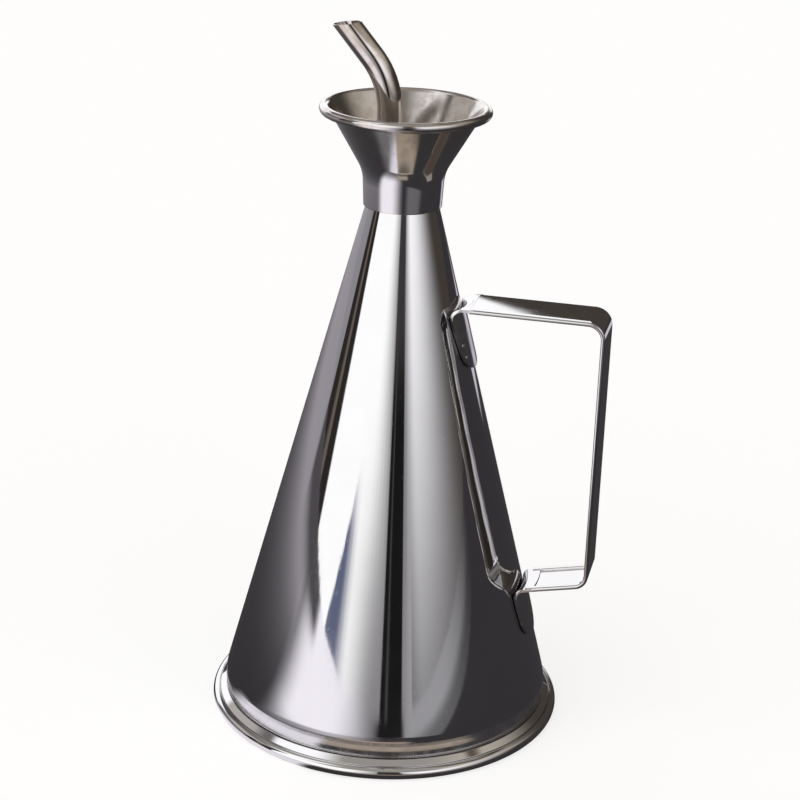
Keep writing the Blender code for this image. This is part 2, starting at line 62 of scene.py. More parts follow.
# Cone and base, on their outer faces. Dulled shares, and shares of brown that is stain on some
# pieces and painted shade on others, run from 0 to 1.
CONE_WALL = 0.7 * MM
CONE_SLOPE = 0.26104
CONE_TOP = Vector((13.02, 199.66)) * MM
CONE_TUCK = Vector((62.22, 11.2)) * MM
CONE_EDGE = Vector((61.8, 6.6)) * MM
CONE_TUCK_ROUND = 20.0 * MM
CONE_EDGE_ROUND = 0.15 * MM
CONE_HALF_WAY = 100 * MM
DULLED_ABOVE_TUCK = 1.5 * MM
PAN_WALL = 0.8 * MM
PAN_RADIUS = 60.8 * MM
PAN_TOP = 9.6 * MM
PAN_CORNER_ROUND = 2.4 * MM
PAN_STEP = [(54.2, 0), (53.2, 1.2), (50.0, 1.2), (49.0, 0)]
PAN_STEP_ROUND = 0.7 * MM
PAN_EDGE_ROUND = 0.15 * MM
RING_INNER = 61.1 * MM
LEDGE_TOP = 6.3 * MM
LEDGE_START = 62.1 * MM
LEDGE_WALL = 0.8 * MM
LEDGE_ROUND = 0.5 * MM
GROOVE_RADIUS = 64.2 * MM
GROOVE_TOP = 4.6 * MM
GROOVE_BOTTOM = 4.1 * MM
GROOVE_ROUND = 0.2 * MM
BEAD_CENTRE = Vector((64.7, 2.245)) * MM
BEAD_RADIUS = 2.3 * MM
BEAD_TOP_ANGLE = math.radians(90)
BEAD_FOOT_ANGLE = math.radians(-77.5)
BEAD_STEPS = 40
BEAD_INNER_ANGLES = [math.radians(angle) for angle in (257.5, 240, 225, 205, 180)]
RING_HOLD = 0.15 * MM
RING_EDGE_ROUND = 0.08 * MM
# Painted shade on the foot ring: browned at the cone's joint, in the groove and on the faces under
# the bead that look down
SHADE_SHORT_OF_LEDGE = 0.3 * MM
SHADE_BELOW_GROOVE_TOP = 0.15 * MM
SHADE_BESIDE_GROOVE = 0.45 * MM
FACING_DOWN = -0.4

# Neck and the pieces that lift off it
SLEEVE_RADIUS = 12.0 * MM
SLEEVE_WALL = 0.5 * MM
SLEEVE_TOP = 210.0 * MM
SLEEVE_BOTTOM = 188.0 * MM
SLEEVE_EDGE_ROUND = 0.12 * MM
SEAL_INNER = 11.5 * MM
SEAL_OUTER = 13.2 * MM
SEAL_BOTTOM = 210.3 * MM
SEAL_TOP = 211.5 * MM
SEAL_ROUND = 0.35 * MM
SEAL_EDGE_ROUND = 0.02 * MM
SEAL_SHARP_CORNER = math.radians(80)
CUP_WALL = 0.5 * MM
CUP_BRIM_RADIUS = 13.85 * MM
CUP_BRIM_HEIGHT = 211.8 * MM
CUP_RADIUS = 11.2 * MM
CUP_FLOOR = 199.5 * MM
CUP_CORNER_ROUND = 1.1 * MM
CUP_BRIM_ROUND = 0.35 * MM
CUP_HOLD = 0.3 * MM
CUP_EDGE_ROUND = 0.1 * MM
PUNCH_LENGTH = 4 * MM
DRIP_HOLE_SIDES = 32
DRIP_HOLE_RADIUS = 1.0 * MM
DRIP_HOLE_CIRCLE = 6.0 * MM
DRIP_HOLE_ANGLES = [math.radians(angle) for angle in (-60, -30, 0, 30, 60)]
FUNNEL_WALL = 0.6 * MM
FUNNEL_BOTTOM = Vector((14.2, 198.6)) * MM
FUNNEL_WAIST = Vector((14.75, 211.12)) * MM
FUNNEL_WAIST_ROUND = 15.0 * MM
FUNNEL_EDGE_ROUND = 0.14 * MM
RIM_CENTRE = Vector((29.1, 233.4)) * MM
RIM_RADIUS = 1.8 * MM
RIM_SWEEP = math.radians(338)
RIM_STEPS = 60
FLARE_ANGLE = math.radians(30.3)
FUNNEL_DULLED = {"inside": 1.0, "rim": 0.7, "outside": 0.35}
# Brown on the funnel: inside the hollow it is painted shade; the rim and the outside get a lighter
# brown tint
FUNNEL_SHADE_AND_STAIN = {"inside": 0.95, "rim": 0.6, "outside": 0.05}
SPOUT_RADIUS = 4.5 * MM
SPOUT_WALL = 0.5 * MM
SPOUT_OFFSET = 5.9 * MM
SPOUT_BOTTOM = 197.0 * MM
SPOUT_CORNER = 243.1 * MM
SPOUT_BEND_RADIUS = 30.0 * MM
SPOUT_ANGLE = math.radians(40.5)
SPOUT_MOUTH = Vector((-22.47, 0, 262.5)) * MM
SPOUT_MOUTH_TILT = math.radians(10)
SPOUT_BEND_STEPS = 28
SPOUT_BEFORE_CUT = 30 * MM
SPOUT_EDGE_ROUND = 0.14 * MM
SPOUT_DULLED = 0.4
SPOUT_STAINED = 0.85

# Handle strap, on its outer face
STRAP_WIDTH = 20.5 * MM
STRAP_WEB = 0.8 * MM
HEM_DEPTH = 1.6 * MM
HEM_WIDTH = 2.8 * MM
HEM_ROUND = 0.72 * MM
HEM_LIP_ROUND = 0.5 * MM
HEM_FOLD_ROUND = 0.2 * MM
STRAP_EDGE_ROUND = 0.12 * MM
GRIP_REACH = 77.8 * MM
UPPER_ARM_HEIGHT = 164.7 * MM
UPPER_ARM_START = 28.15 * MM
UPPER_BEND = 6.5 * MM
UPPER_BEND_STEPS = 16
GRIP_FOOT = 61.1 * MM
LOWER_ARM_SLOPE = math.radians(12.1)
LOWER_BEND = 5.5 * MM
LOWER_BEND_STEPS = 14
LOWER_ARM_END = 54.993 * MM
TAB_THICKNESS = 1.1 * MM
TAB_BEND_RADIUS = 4.0 * MM
TAB_HALF_WIDTH = 10.19 * MM
TAB_TIP_HALF_WIDTH = 8.0 * MM
TAB_TIP_ROUND = 7.0 * MM
TAB_TIP_STEPS = 14
TAB_BODY_STEPS = 6
TAB_COLUMNS = 36
TAB_SHOULDER = 9.0 * MM
TAB_EDGE_ROUND = 0.3 * MM
TAB_START = 9.0 * MM
TAB_STEP = 0.06 * MM
UPPER_TAB_DROP = 24.5 * MM
LOWER_TAB_DROP = 21.0 * MM
TAB_DULLED = 0.75
TAB_DULLED_REACH = 2.6 * MM
# Each weld dot's side and height
WELD_DOTS = ((-7.6 * MM, 150.2 * MM), (-7.0 * MM, 145.7 * MM))
WELD_DOT_RADIUS = 0.8 * MM
WELD_DOT_FLATNESS = 0.3
WELD_DOT_SIDES = 24


def cone_radius(height):
    """Outer radius of the cone at a height."""
    return CONE_TOP.x + (CONE_TOP.y - height) * CONE_SLOPE


# Modelling steps that several pieces share


def deselect_all():
    bpy.ops.object.select_all(action="DESELECT")


def edit(piece):
    """Open a piece for editing with nothing selected."""
    deselect_all()
    piece.select_set(True)
    bpy.context.view_layer.objects.active = piece
    bpy.ops.object.mode_set(mode="EDIT")
    bpy.ops.mesh.select_mode(type="VERT")
    bpy.ops.mesh.select_all(action="DESELECT")


def close_edit():
    bpy.ops.object.mode_set(mode="OBJECT")


def select_vertices(piece, wanted):
    """Select only the vertices of the open piece for which wanted(place) is true."""
    bpy.ops.mesh.select_all(action="DESELECT")
    close_edit()
    for vertex in piece.data.vertices:
        vertex.select = wanted(vertex.co)
    bpy.ops.object.mode_set(mode="EDIT")


def settle(piece):
    """Put a piece's place into its mesh, so that its object sits at the origin."""
    deselect_all()
    piece.select_set(True)
    bpy.context.view_layer.objects.active = piece
    bpy.ops.object.transform_apply(location=True, rotation=True, scale=True)


def round_point(centre, radius, angle):
    """The point of a circle at an angle, in the (radius, height) plane of a turned piece."""
    return centre + Vector((math.cos(angle), math.sin(angle))) * radius


def corner_arcs(corners, rounds):
    """A line in which each inner corner becomes an arc of its round."""
    line = [Vector(corners[0])]
    for index, round_radius in enumerate(rounds, start=1):
        corner = Vector(corners[index])
        back = (Vector(corners[index - 1]) - corner).normalized()
        ahead = (Vector(corners[index + 1]) - corner).normalized()
        half = back.angle(ahead) / 2
        if round_radius == 0:
            line.append(corner)
            continue
        centre = corner + (back + ahead).normalized() * (round_radius / math.sin(half))
        spoke = corner + back * (round_radius / math.tan(half)) - centre
        last = corner + ahead * (round_radius / math.tan(half)) - centre
        sweep = -spoke.angle_signed(last)
        steps = max(3, math.ceil(abs(sweep) / ARC_STEP))
        for step in range(steps + 1):
            line.append(centre + Matrix.Rotation(sweep * step / steps, 2) @ spoke)
    line.append(Vector(corners[-1]))
    return line


def with_holds(line, hold=HOLD):
    """The line with a point close to each end of its long straight lengths."""
    held = [line[0]]
    for start, end in zip(line, line[1:]):
        length = (end - start).length
        if length > 4 * hold:
            held.append(start.lerp(end, hold / length))
            held.append(end.lerp(start, hold / length))
        held.append(end)
    return held


def turned(name, line, sides, closed=False):
    """A sheet turned about Z: a circle pulled from ring to ring along a (radius, height) line."""
    deselect_all()
    radius, height = line[0]
    bpy.ops.mesh.primitive_circle_add(vertices=sides, radius=radius, location=(0, 0, height))
    piece = bpy.context.object
    piece.name = name
    settle(piece)
    edit(piece)
    bpy.ops.mesh.select_all(action="SELECT")
    stops = list(line[1:])
    if closed:
        stops.append(line[0])
    for next_radius, next_height in stops:
        step = (0, 0, next_height - height)
        bpy.ops.mesh.extrude_region_move(TRANSFORM_OT_translate={"value": step})
        if next_radius == 0:
            bpy.ops.mesh.merge(type="CENTER")
            break
        share = next_radius / radius
        centre = (0, 0, next_height)
        bpy.ops.transform.resize(value=(share, share, 1), center_override=centre)
        radius, height = next_radius, next_height
    bpy.ops.mesh.select_all(action="SELECT")
    bpy.ops.mesh.remove_doubles(threshold=SAME_POINT)
    bpy.ops.mesh.normals_make_consistent(inside=False)
    close_edit()
    return piece


def look_along(piece, place, direction):
    """Turn an open sheet's faces so that the one nearest a place looks along a direction."""
    place, direction = Vector(place), Vector(direction)
    nearest = min(piece.data.polygons, key=lambda face: (face.center - place).length)
    if nearest.normal.dot(direction) < 0:
        edit(piece)
        bpy.ops.mesh.select_all(action="SELECT")
        bpy.ops.mesh.flip_normals()
        close_edit()


def modify(piece, name, kind, **settings):
    """Add a modifier with its settings and apply it."""
    deselect_all()
    piece.select_set(True)
    bpy.context.view_layer.objects.active = piece
    modifier = piece.modifiers.new(name, kind)
    for key, value in settings.items():
        setattr(modifier, key, value)
    bpy.ops.object.modifier_apply(modifier=modifier.name)


def thicken(piece, wall, edge):
    """Give an open sheet its wall, against its faces, and round its cut edges."""
    modify(piece, "wall", "SOLIDIFY", thickness=wall, offset=-1, use_even_offset=True)
    soften(piece, edge)


def soften(piece, width, segments=3, angle=SHARP_CORNER):
    """Round the edges that are sharper than an angle, and shade the piece smooth."""
    modify(
        piece,
        "edges",
        "BEVEL",
        width=width,
        segments=segments,
        limit_method="ANGLE",
        angle_limit=angle,
    )
    deselect_all()
    piece.select_set(True)
    bpy.context.view_layer.objects.active = piece
    bpy.ops.object.shade_smooth_by_angle(angle=SMOOTH_CORNER)


def place(piece, material, body, slot, *nodes):
    """Give a finished piece its material, its body and the nodes that it stands for."""
    settle(piece)
    piece.data.materials.clear()
    piece.data.materials.append(material)
    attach(piece, body)
    if nodes:
        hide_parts(*nodes)
    return piece


def mark(piece, name, amount):
    """Store a share for each point, worked out from its place and the way that it faces: how dulled
    it is, or how brown it is as stain or painted shade.
    """
    mesh = piece.data
    values = mesh.attributes.new(name, "FLOAT", "POINT")
    for vertex, normal in zip(mesh.vertices, mesh.vertex_normals):
        values.data[vertex.index].value = amount(vertex.co, normal.vector)


# The pieces


def cone_wall():
    """Cone of thin sheet, turned in at its foot and dulled there."""
    line = with_holds(corner_arcs([CONE_TOP, CONE_TUCK, CONE_EDGE], [CONE_TUCK_ROUND]))
    cone = turned("cone_wall", line, BODY_SIDES)
    look_along(cone, (cone_radius(CONE_HALF_WAY), 0, CONE_HALF_WAY), (1, 0, 0))
    thicken(cone, CONE_WALL, CONE_EDGE_ROUND)
    dulled_below = CONE_TUCK.y + DULLED_ABOVE_TUCK
    mark(cone, "dulled", lambda co, normal: 1.0 if co.z < dulled_below else 0.0)
    return cone


def pan_dish():
    """Base pan: upturned wall, pressed step and a flat floor closed at its centre."""
    step = [Vector(point) * MM for point in PAN_STEP]
    corners = [Vector((PAN_RADIUS, PAN_TOP)), Vector((PAN_RADIUS, 0)), *step, Vector((0, 0))]
    line = corner_arcs(corners, [PAN_CORNER_ROUND] + [PAN_STEP_ROUND] * 4)
    dish = turned("pan_dish", with_holds(line), BODY_SIDES)
    look_along(dish, (0, 0, 0), (0, 0, -1))
    thicken(dish, PAN_WALL, PAN_EDGE_ROUND)
    return dish


def bead_ring():
    """Sloping ledge, groove and rolled bead of the foot, as one closed outline."""
    sweep = BEAD_FOOT_ANGLE - BEAD_TOP_ANGLE
    angles = [BEAD_TOP_ANGLE + sweep * step / BEAD_STEPS for step in range(BEAD_STEPS + 1)]
    angles += BEAD_INNER_ANGLES
    bead = [round_point(BEAD_CENTRE, BEAD_RADIUS, angle) for angle in angles]
    ledge = corner_arcs(
        [
            (RING_INNER, LEDGE_TOP),
            (LEDGE_START, LEDGE_TOP),
            (GROOVE_RADIUS, GROOVE_TOP),
            (GROOVE_RADIUS, GROOVE_BOTTOM),
        ],
        [LEDGE_ROUND, GROOVE_ROUND],
    )
    under = [
        Vector((CONE_EDGE.x, LEDGE_TOP - LEDGE_WALL)),
        Vector((RING_INNER, LEDGE_TOP - LEDGE_WALL)),
    ]
    outline = with_holds(ledge, RING_HOLD) + bead + under
    ring = turned("bead_ring", outline, BODY_SIDES, closed=True)
    soften(ring, RING_EDGE_ROUND, segments=2)

    # Painted shade: the joint with the cone, the groove and the faces under the bead that look down
    # are browned, and also dulled
    def in_painted_shade(co, normal):
        reach = co.xy.length
        at_cone = reach < LEDGE_START - SHADE_SHORT_OF_LEDGE
        on_wall = BEAD_CENTRE.y < co.z < GROOVE_TOP - SHADE_BELOW_GROOVE_TOP
        in_groove = abs(reach - GROOVE_RADIUS) < SHADE_BESIDE_GROOVE and on_wall
        under_bead = reach > BEAD_CENTRE.x and normal.z < FACING_DOWN
        return 1.0 if at_cone or in_groove or under_bead else 0.0

    mark(ring, "stain_and_shade", in_painted_shade)
    mark(ring, "dulled", in_painted_shade)
    return ring


def sleeve_tube():
    """Straight sleeve in the cone's mouth."""
    ends = [Vector((SLEEVE_RADIUS, SLEEVE_TOP)), Vector((SLEEVE_RADIUS, SLEEVE_BOTTOM))]
    sleeve = turned("sleeve_tube", with_holds(ends), NECK_SIDES)
    look_along(sleeve, (SLEEVE_RADIUS, 0, SLEEVE_TOP), (1, 0, 0))
    thicken(sleeve, SLEEVE_WALL, SLEEVE_EDGE_ROUND)
    return sleeve


def seal_washer():
    """Soft washer with rounded corners, whose outline starts in the middle of its top."""
    corners = [
        ((SEAL_INNER + SEAL_OUTER) / 2, SEAL_TOP),
        (SEAL_OUTER, SEAL_TOP),
        (SEAL_OUTER, SEAL_BOTTOM),
        (SEAL_INNER, SEAL_BOTTOM),
        (SEAL_INNER, SEAL_TOP),
        ((SEAL_INNER + SEAL_OUTER) / 2, SEAL_TOP),
    ]
    outline = corner_arcs(corners, [SEAL_ROUND] * 4)[:-1]
    washer = turned("seal_washer", outline, NECK_SIDES, closed=True)
    soften(washer, SEAL_EDGE_ROUND, segments=1, angle=SEAL_SHARP_CORNER)
    return washer


def pressed_cup():
    """Hat-shaped cup: brim, wall and a floor with five drip holes and the spout's hole."""
    corners = [
        (CUP_BRIM_RADIUS, CUP_BRIM_HEIGHT),
        (CUP_RADIUS, CUP_BRIM_HEIGHT),
        (CUP_RADIUS, CUP_FLOOR),
        (0, CUP_FLOOR),
    ]
    line = corner_arcs(corners, [CUP_BRIM_ROUND, CUP_CORNER_ROUND])
    cup = turned("pressed_cup", with_holds(line, CUP_HOLD), NECK_SIDES)
    look_along(cup, (0, 0, CUP_FLOOR), (0, 0, -1))
    modify(cup, "wall", "SOLIDIFY", thickness=CUP_WALL, offset=-1, use_even_offset=True)
    holes = [(Vector((-SPOUT_OFFSET, 0)), SPOUT_RADIUS + GAP, TUBE_SIDES)]
    for angle in DRIP_HOLE_ANGLES:
        centre = round_point(Vector((0, 0)), DRIP_HOLE_CIRCLE, angle)
        holes.append((centre, DRIP_HOLE_RADIUS, DRIP_HOLE_SIDES))
    for centre, radius, sides in holes:
        deselect_all()
        bpy.ops.mesh.primitive_cylinder_add(
            vertices=sides, radius=radius, depth=PUNCH_LENGTH, location=(*centre, CUP_FLOOR)
        )
        punch = bpy.context.object
        modify(cup, "hole", "BOOLEAN", object=punch, operation="DIFFERENCE", solver="EXACT")
        bpy.data.objects.remove(punch, do_unlink=True)
    soften(cup, CUP_EDGE_ROUND, segments=2)
    return cup


def flared_funnel():
    """Skirt, waist and flare of one sheet, whose rim is rolled outwards into a bead."""
    tangent = math.pi - FLARE_ANGLE
    last = tangent - RIM_SWEEP
    roll = []
    for step in range(RIM_STEPS + 1):
        angle = last + (tangent - last) * step / RIM_STEPS
        roll.append(round_point(RIM_CENTRE, RIM_RADIUS, angle))
    inward = Vector((-math.cos(FLARE_ANGLE), math.sin(FLARE_ANGLE))) * FUNNEL_WALL
    face = corner_arcs(
        [roll[-1], FUNNEL_WAIST + inward, FUNNEL_BOTTOM - Vector((FUNNEL_WALL, 0))],
        [FUNNEL_WAIST_ROUND],
    )
    line = roll + with_holds(face)[1:]
    funnel = turned("flared_funnel", line, NECK_SIDES)
    look_along(funnel, (FUNNEL_BOTTOM.x, 0, FUNNEL_BOTTOM.y), (-1, 0, 0))
    thicken(funnel, FUNNEL_WALL, FUNNEL_EDGE_ROUND)
    rim_foot = RIM_CENTRE.y - RIM_RADIUS - GAP

    def side_of(co, normal):
        if co.z > rim_foot and co.xy.length > RIM_CENTRE.x - RIM_RADIUS:
            return "rim"
        return "inside" if normal.xy.dot(co.xy) < 0 else "outside"

    # The inside is dulled and browned most, the brown being painted shade in the hollow; the rim
    # gets less and the outside hardly any
    mark(funnel, "dulled", lambda co, normal: FUNNEL_DULLED[side_of(co, normal)])
    mark(funnel, "stain_and_shade", lambda co, normal: FUNNEL_SHADE_AND_STAIN[side_of(co, normal)])
    return funnel


def bent_spout():
    """Tube pulled up from the cup's floor, bent, and cut off at its mouth."""
    deselect_all()
    bpy.ops.mesh.primitive_circle_add(
        vertices=TUBE_SIDES, radius=SPOUT_RADIUS, location=(-SPOUT_OFFSET, 0, SPOUT_BOTTOM)
    )
    spout = bpy.context.object
    spout.name = "bent_spout"
    settle(spout)
    edit(spout)
    bpy.ops.mesh.select_all(action="SELECT")
    bend_start = SPOUT_CORNER - SPOUT_BEND_RADIUS * math.tan(SPOUT_ANGLE / 2)
    rise = bend_start - SPOUT_BOTTOM
    for step in (HOLD, rise - 2 * HOLD, HOLD):
        bpy.ops.mesh.extrude_region_move(TRANSFORM_OT_translate={"value": (0, 0, step)})
    bpy.ops.mesh.spin(
        steps=SPOUT_BEND_STEPS,
        angle=SPOUT_ANGLE,
        center=(-SPOUT_OFFSET - SPOUT_BEND_RADIUS, 0, bend_start),
        axis=(0, 1, 0),
    )
    along = Vector((-math.sin(SPOUT_ANGLE), 0, math.cos(SPOUT_ANGLE)))
    for step in (HOLD, SPOUT_BEFORE_CUT):
        bpy.ops.mesh.extrude_region_move(TRANSFORM_OT_translate={"value": along * step})
    bpy.ops.mesh.select_all(action="SELECT")
    bpy.ops.mesh.remove_doubles(threshold=SAME_POINT)
    bpy.ops.mesh.bisect(
        plane_co=SPOUT_MOUTH,
        plane_no=(-math.sin(SPOUT_MOUTH_TILT), 0, math.cos(SPOUT_MOUTH_TILT)),
        clear_outer=True,
        clear_inner=False,
    )
    bpy.ops.mesh.select_all(action="SELECT")
    bpy.ops.mesh.normals_make_consistent(inside=False)
    close_edit()
    look_along(spout, (-SPOUT_OFFSET + SPOUT_RADIUS, 0, SPOUT_BOTTOM), (1, 0, 0))
    thicken(spout, SPOUT_WALL, SPOUT_EDGE_ROUND)
    mark(spout, "dulled", lambda co, normal: SPOUT_DULLED)
    mark(spout, "stain_and_shade", lambda co, normal: SPOUT_STAINED)
    return spout


def strap_strip():
    """Strip with a hem folded along each edge, pulled along the arms and spun round the bends."""
    deselect_all()
    half = STRAP_WIDTH / 2
    web_half = half - HEM_WIDTH
    web_bottom = UPPER_ARM_HEIGHT - STRAP_WEB
    hem_bottom = UPPER_ARM_HEIGHT - HEM_DEPTH

    def at_height(co, height):
        return abs(co.z - height) < ON_LINE

    def at_fold(co):
        return abs(abs(co.y) - web_half) < ON_LINE

    bpy.ops.mesh.primitive_plane_add(
        size=1,
        location=(UPPER_ARM_START, 0, UPPER_ARM_HEIGHT - STRAP_WEB / 2),
        rotation=(0, math.pi / 2, 0),
    )
    strip = bpy.context.object
    strip.name = "strap_strip"
    strip.scale = (STRAP_WEB, 2 * web_half, 1)
    settle(strip)
    edit(strip)
    for side in (1, -1):
        select_vertices(strip, lambda co: side * co.y > web_half - ON_LINE)
        hem = (0, side * HEM_WIDTH, 0)
        bpy.ops.mesh.extrude_region_move(TRANSFORM_OT_translate={"value": hem})
    for side in (1, -1):
        select_vertices(
            strip, lambda co: side * co.y > web_half - ON_LINE and at_height(co, web_bottom)
        )
        fold = (0, 0, STRAP_WEB - HEM_DEPTH)
        bpy.ops.mesh.extrude_region_move(TRANSFORM_OT_translate={"value": fold})
    bpy.ops.mesh.select_all(action="SELECT")
    bpy.ops.mesh.dissolve_faces()
    select_vertices(
        strip, lambda co: abs(co.y) > half - ON_LINE and not at_height(co, web_bottom)
    )
    bpy.ops.mesh.bevel(offset=HEM_ROUND, segments=6, affect="VERTICES")
    select_vertices(strip, lambda co: at_fold(co) and at_height(co, hem_bottom))
    bpy.ops.mesh.bevel(offset=HEM_LIP_ROUND, segments=4, affect="VERTICES")
    select_vertices(strip, lambda co: at_fold(co) and at_height(co, web_bottom))
    bpy.ops.mesh.bevel(offset=HEM_FOLD_ROUND, segments=3, affect="VERTICES")
    # Only the section's outline is pulled along, and both its ends are closed afterwards.
    bpy.ops.mesh.select_all(action="SELECT")
    bpy.ops.mesh.delete(type="ONLY_FACE")
    bpy.ops.mesh.select_all(action="SELECT")

    def pull(direction, length):
        for step in (HOLD, length - 2 * HOLD, HOLD):
            move = Vector(direction) * step
            bpy.ops.mesh.extrude_region_move(TRANSFORM_OT_translate={"value": move})

    down = math.tan((math.pi / 2 - LOWER_ARM_SLOPE) / 2) * LOWER_BEND
    lower_centre = (GRIP_REACH - LOWER_BEND, 0, GRIP_FOOT + down)
    upper_centre = (GRIP_REACH - UPPER_BEND, 0, UPPER_ARM_HEIGHT - UPPER_BEND)
    pull((1, 0, 0), upper_centre[0] - UPPER_ARM_START)
    bpy.ops.mesh.spin(
        steps=UPPER_BEND_STEPS, angle=-math.pi / 2, center=upper_centre, axis=(0, 1, 0)
    )
    pull((0, 0, -1), upper_centre[2] - lower_centre[2])
    turn = math.pi / 2 - LOWER_ARM_SLOPE
    bpy.ops.mesh.spin(steps=LOWER_BEND_STEPS, angle=-turn, center=lower_centre, axis=(0, 1, 0))
    bend_end = GRIP_REACH - down * math.cos(LOWER_ARM_SLOPE)
    length = (bend_end - LOWER_ARM_END) / math.cos(LOWER_ARM_SLOPE)
    pull((-math.cos(LOWER_ARM_SLOPE), 0, -math.sin(LOWER_ARM_SLOPE)), length)
    bpy.ops.mesh.edge_face_add()
    select_vertices(strip, lambda co: co.x < UPPER_ARM_START + ON_LINE)
    bpy.ops.mesh.edge_face_add()
    bpy.ops.mesh.select_all(action="SELECT")
    bpy.ops.mesh.remove_doubles(threshold=SAME_POINT)
    bpy.ops.mesh.normals_make_consistent(inside=False)
    close_edit()
    soften(strip, STRAP_EDGE_ROUND, segments=2)
    return strip


def tab_tongue(name, start, slope, drop):
    """A tab laid on the cone: a grid bent down from the arm, narrowed to a round-ended tongue."""
    gap = GAP / math.cos(math.atan(CONE_SLOPE))
    fall = CONE_TOP.x + gap + (CONE_TOP.y - start.y) * CONE_SLOPE
    corner_reach = (fall + start.x * slope * CONE_SLOPE) / (1 + slope * CONE_SLOPE)
    corner = Vector((corner_reach, start.y - (start.x - corner_reach) * slope))
    end = corner + Vector((drop * CONE_SLOPE, -drop))
    line = corner_arcs([start, corner, end], [TAB_BEND_RADIUS])
    reach = [0]
    for before, after in zip(line, line[1:]):
        reach.append(reach[-1] + (after - before).length)
    length = reach[-1]
    tip = []
    for step in range(TAB_TIP_STEPS):
        tip.append(TAB_TIP_ROUND * (1 - math.cos(math.pi / 2 * step / TAB_TIP_STEPS)))
    stops = [distance for distance in reach if distance < length - TAB_TIP_ROUND]
    body_start = stops[-1]
    straight = length - TAB_TIP_ROUND - body_start
    for step in range(1, TAB_BODY_STEPS + 1):
        stops.append(body_start + straight * step / TAB_BODY_STEPS)
    stops += [length - distance for distance in reversed(tip)]
    rows = len(stops)
    deselect_all()
    bpy.ops.mesh.primitive_grid_add(x_subdivisions=TAB_COLUMNS, y_subdivisions=rows - 1, size=2)
    tab = bpy.context.object
    tab.name = name
    shoulder = start.y - TAB_SHOULDER
    for vertex in tab.data.vertices:
        row = round((1 - vertex.co.y) / 2 * (rows - 1))
        across = vertex.co.x
        distance = stops[row]
        index = max(k for k, passed in enumerate(reach) if passed <= distance + ROUNDING)
        index = min(index, len(line) - 2)
        share = (distance - reach[index]) / (reach[index + 1] - reach[index])
        point = line[index].lerp(line[index + 1], share)
        taper = min(max((shoulder - point.y) / (shoulder - end.y), 0), 1)
        half = TAB_HALF_WIDTH + (TAB_TIP_HALF_WIDTH - TAB_HALF_WIDTH) * taper
        into_tip = TAB_TIP_ROUND - (length - distance)
        if into_tip > 0:
            half += math.sqrt(max(TAB_TIP_ROUND**2 - into_tip**2, 0)) - TAB_TIP_ROUND
        side = across * half
        vertex.co = (math.sqrt(point.x**2 - side**2), side, point.y)
    edit(tab)
    bpy.ops.mesh.select_all(action="SELECT")
    bpy.ops.mesh.normals_make_consistent(inside=False)
    close_edit()
    look_along(tab, (end.x, 0, end.y), (-1, 0, 0))
    modify(tab, "wall", "SOLIDIFY", thickness=TAB_THICKNESS, offset=-1, use_even_offset=True)
    soften(tab, TAB_EDGE_ROUND, segments=4)
    return tab


def weld_dot(side, height):
    """A flat nugget of a spot weld, half sunk in the upper tab."""
    cover = (GAP + TAB_THICKNESS) / math.cos(math.atan(CONE_SLOPE))
    around = cone_radius(height) + cover
    turn = math.asin(side / around)
    deselect_all()
    bpy.ops.mesh.primitive_uv_sphere_add(
        segments=WELD_DOT_SIDES,
        ring_count=WELD_DOT_SIDES // 2,
        radius=WELD_DOT_RADIUS,
        location=(around * math.cos(turn), side, height),
        rotation=(0, math.pi / 2 - math.atan(CONE_SLOPE), turn),
    )
    dot = bpy.context.object
    dot.name = "weld_dot"
    dot.scale = (1, 1, WELD_DOT_FLATNESS)
    settle(dot)
    return dot


def handle():
    """The strip, its two tabs and the weld dots as one piece."""
    strip = strap_strip()
    upper_end = cone_radius(UPPER_ARM_HEIGHT) + TAB_START
    upper_start = Vector((upper_end, UPPER_ARM_HEIGHT - TAB_STEP))
    upper = tab_tongue("upper_tab", upper_start, 0, UPPER_TAB_DROP)
    lower_end = cone_radius(GRIP_FOOT) + TAB_START * math.cos(LOWER_ARM_SLOPE)
    slope = math.tan(LOWER_ARM_SLOPE)
    rise = (TAB_THICKNESS + TAB_STEP) / math.cos(LOWER_ARM_SLOPE)
    lower_start = Vector((lower_end, GRIP_FOOT - (GRIP_REACH - lower_end) * slope + rise))
    lower = tab_tongue("lower_tab", lower_start, slope, LOWER_TAB_DROP)
    dots = [weld_dot(side, height) for side, height in WELD_DOTS]
    deselect_all()
    for piece in (strip, upper, lower, *dots):
        piece.select_set(True)
    bpy.context.view_layer.objects.active = strip
    bpy.ops.object.join()
    modify(strip, "flat_faces_lead", "WEIGHTED_NORMAL", weight=100, keep_sharp=True)

    def on_tab(co, normal):
        return TAB_DULLED if co.xy.length < cone_radius(co.z) + TAB_DULLED_REACH else 0.0

    mark(strip, "dulled", on_tab)
    return strip


# Finishes. Scales are in cells per metre, and shares run from 0 to 1.

LINES_SCALE = 2600.0
LINES_DRIFT = 12.0
STRAY_SCALE = (900.0, 1100.0, 60.0)
STRAY_LIMITS = (0.66, 0.74)
TILTED_STRAY_TURN = (0.5, 0.3, 0.2)
TILTED_STRAY_SCALE = (1500.0, 80.0, 1300.0)
TILTED_STRAY_LIMITS = (0.68, 0.76)
SMEAR_SCALE = 38.0
SMEAR_STREAKS = (60.0, 60.0, 18.0)
SMEAR_LIMITS = (0.46, 0.78)
DUST_SCALE = 210.0
DUST_FREE_SHARE = 0.93
DUST_SMALLEST = 0.012
DUST_SPREAD = 0.035
DUST_COLOUR = (0.9, 0.89, 0.86, 1.0)
DUST_ROUGHNESS = 0.5
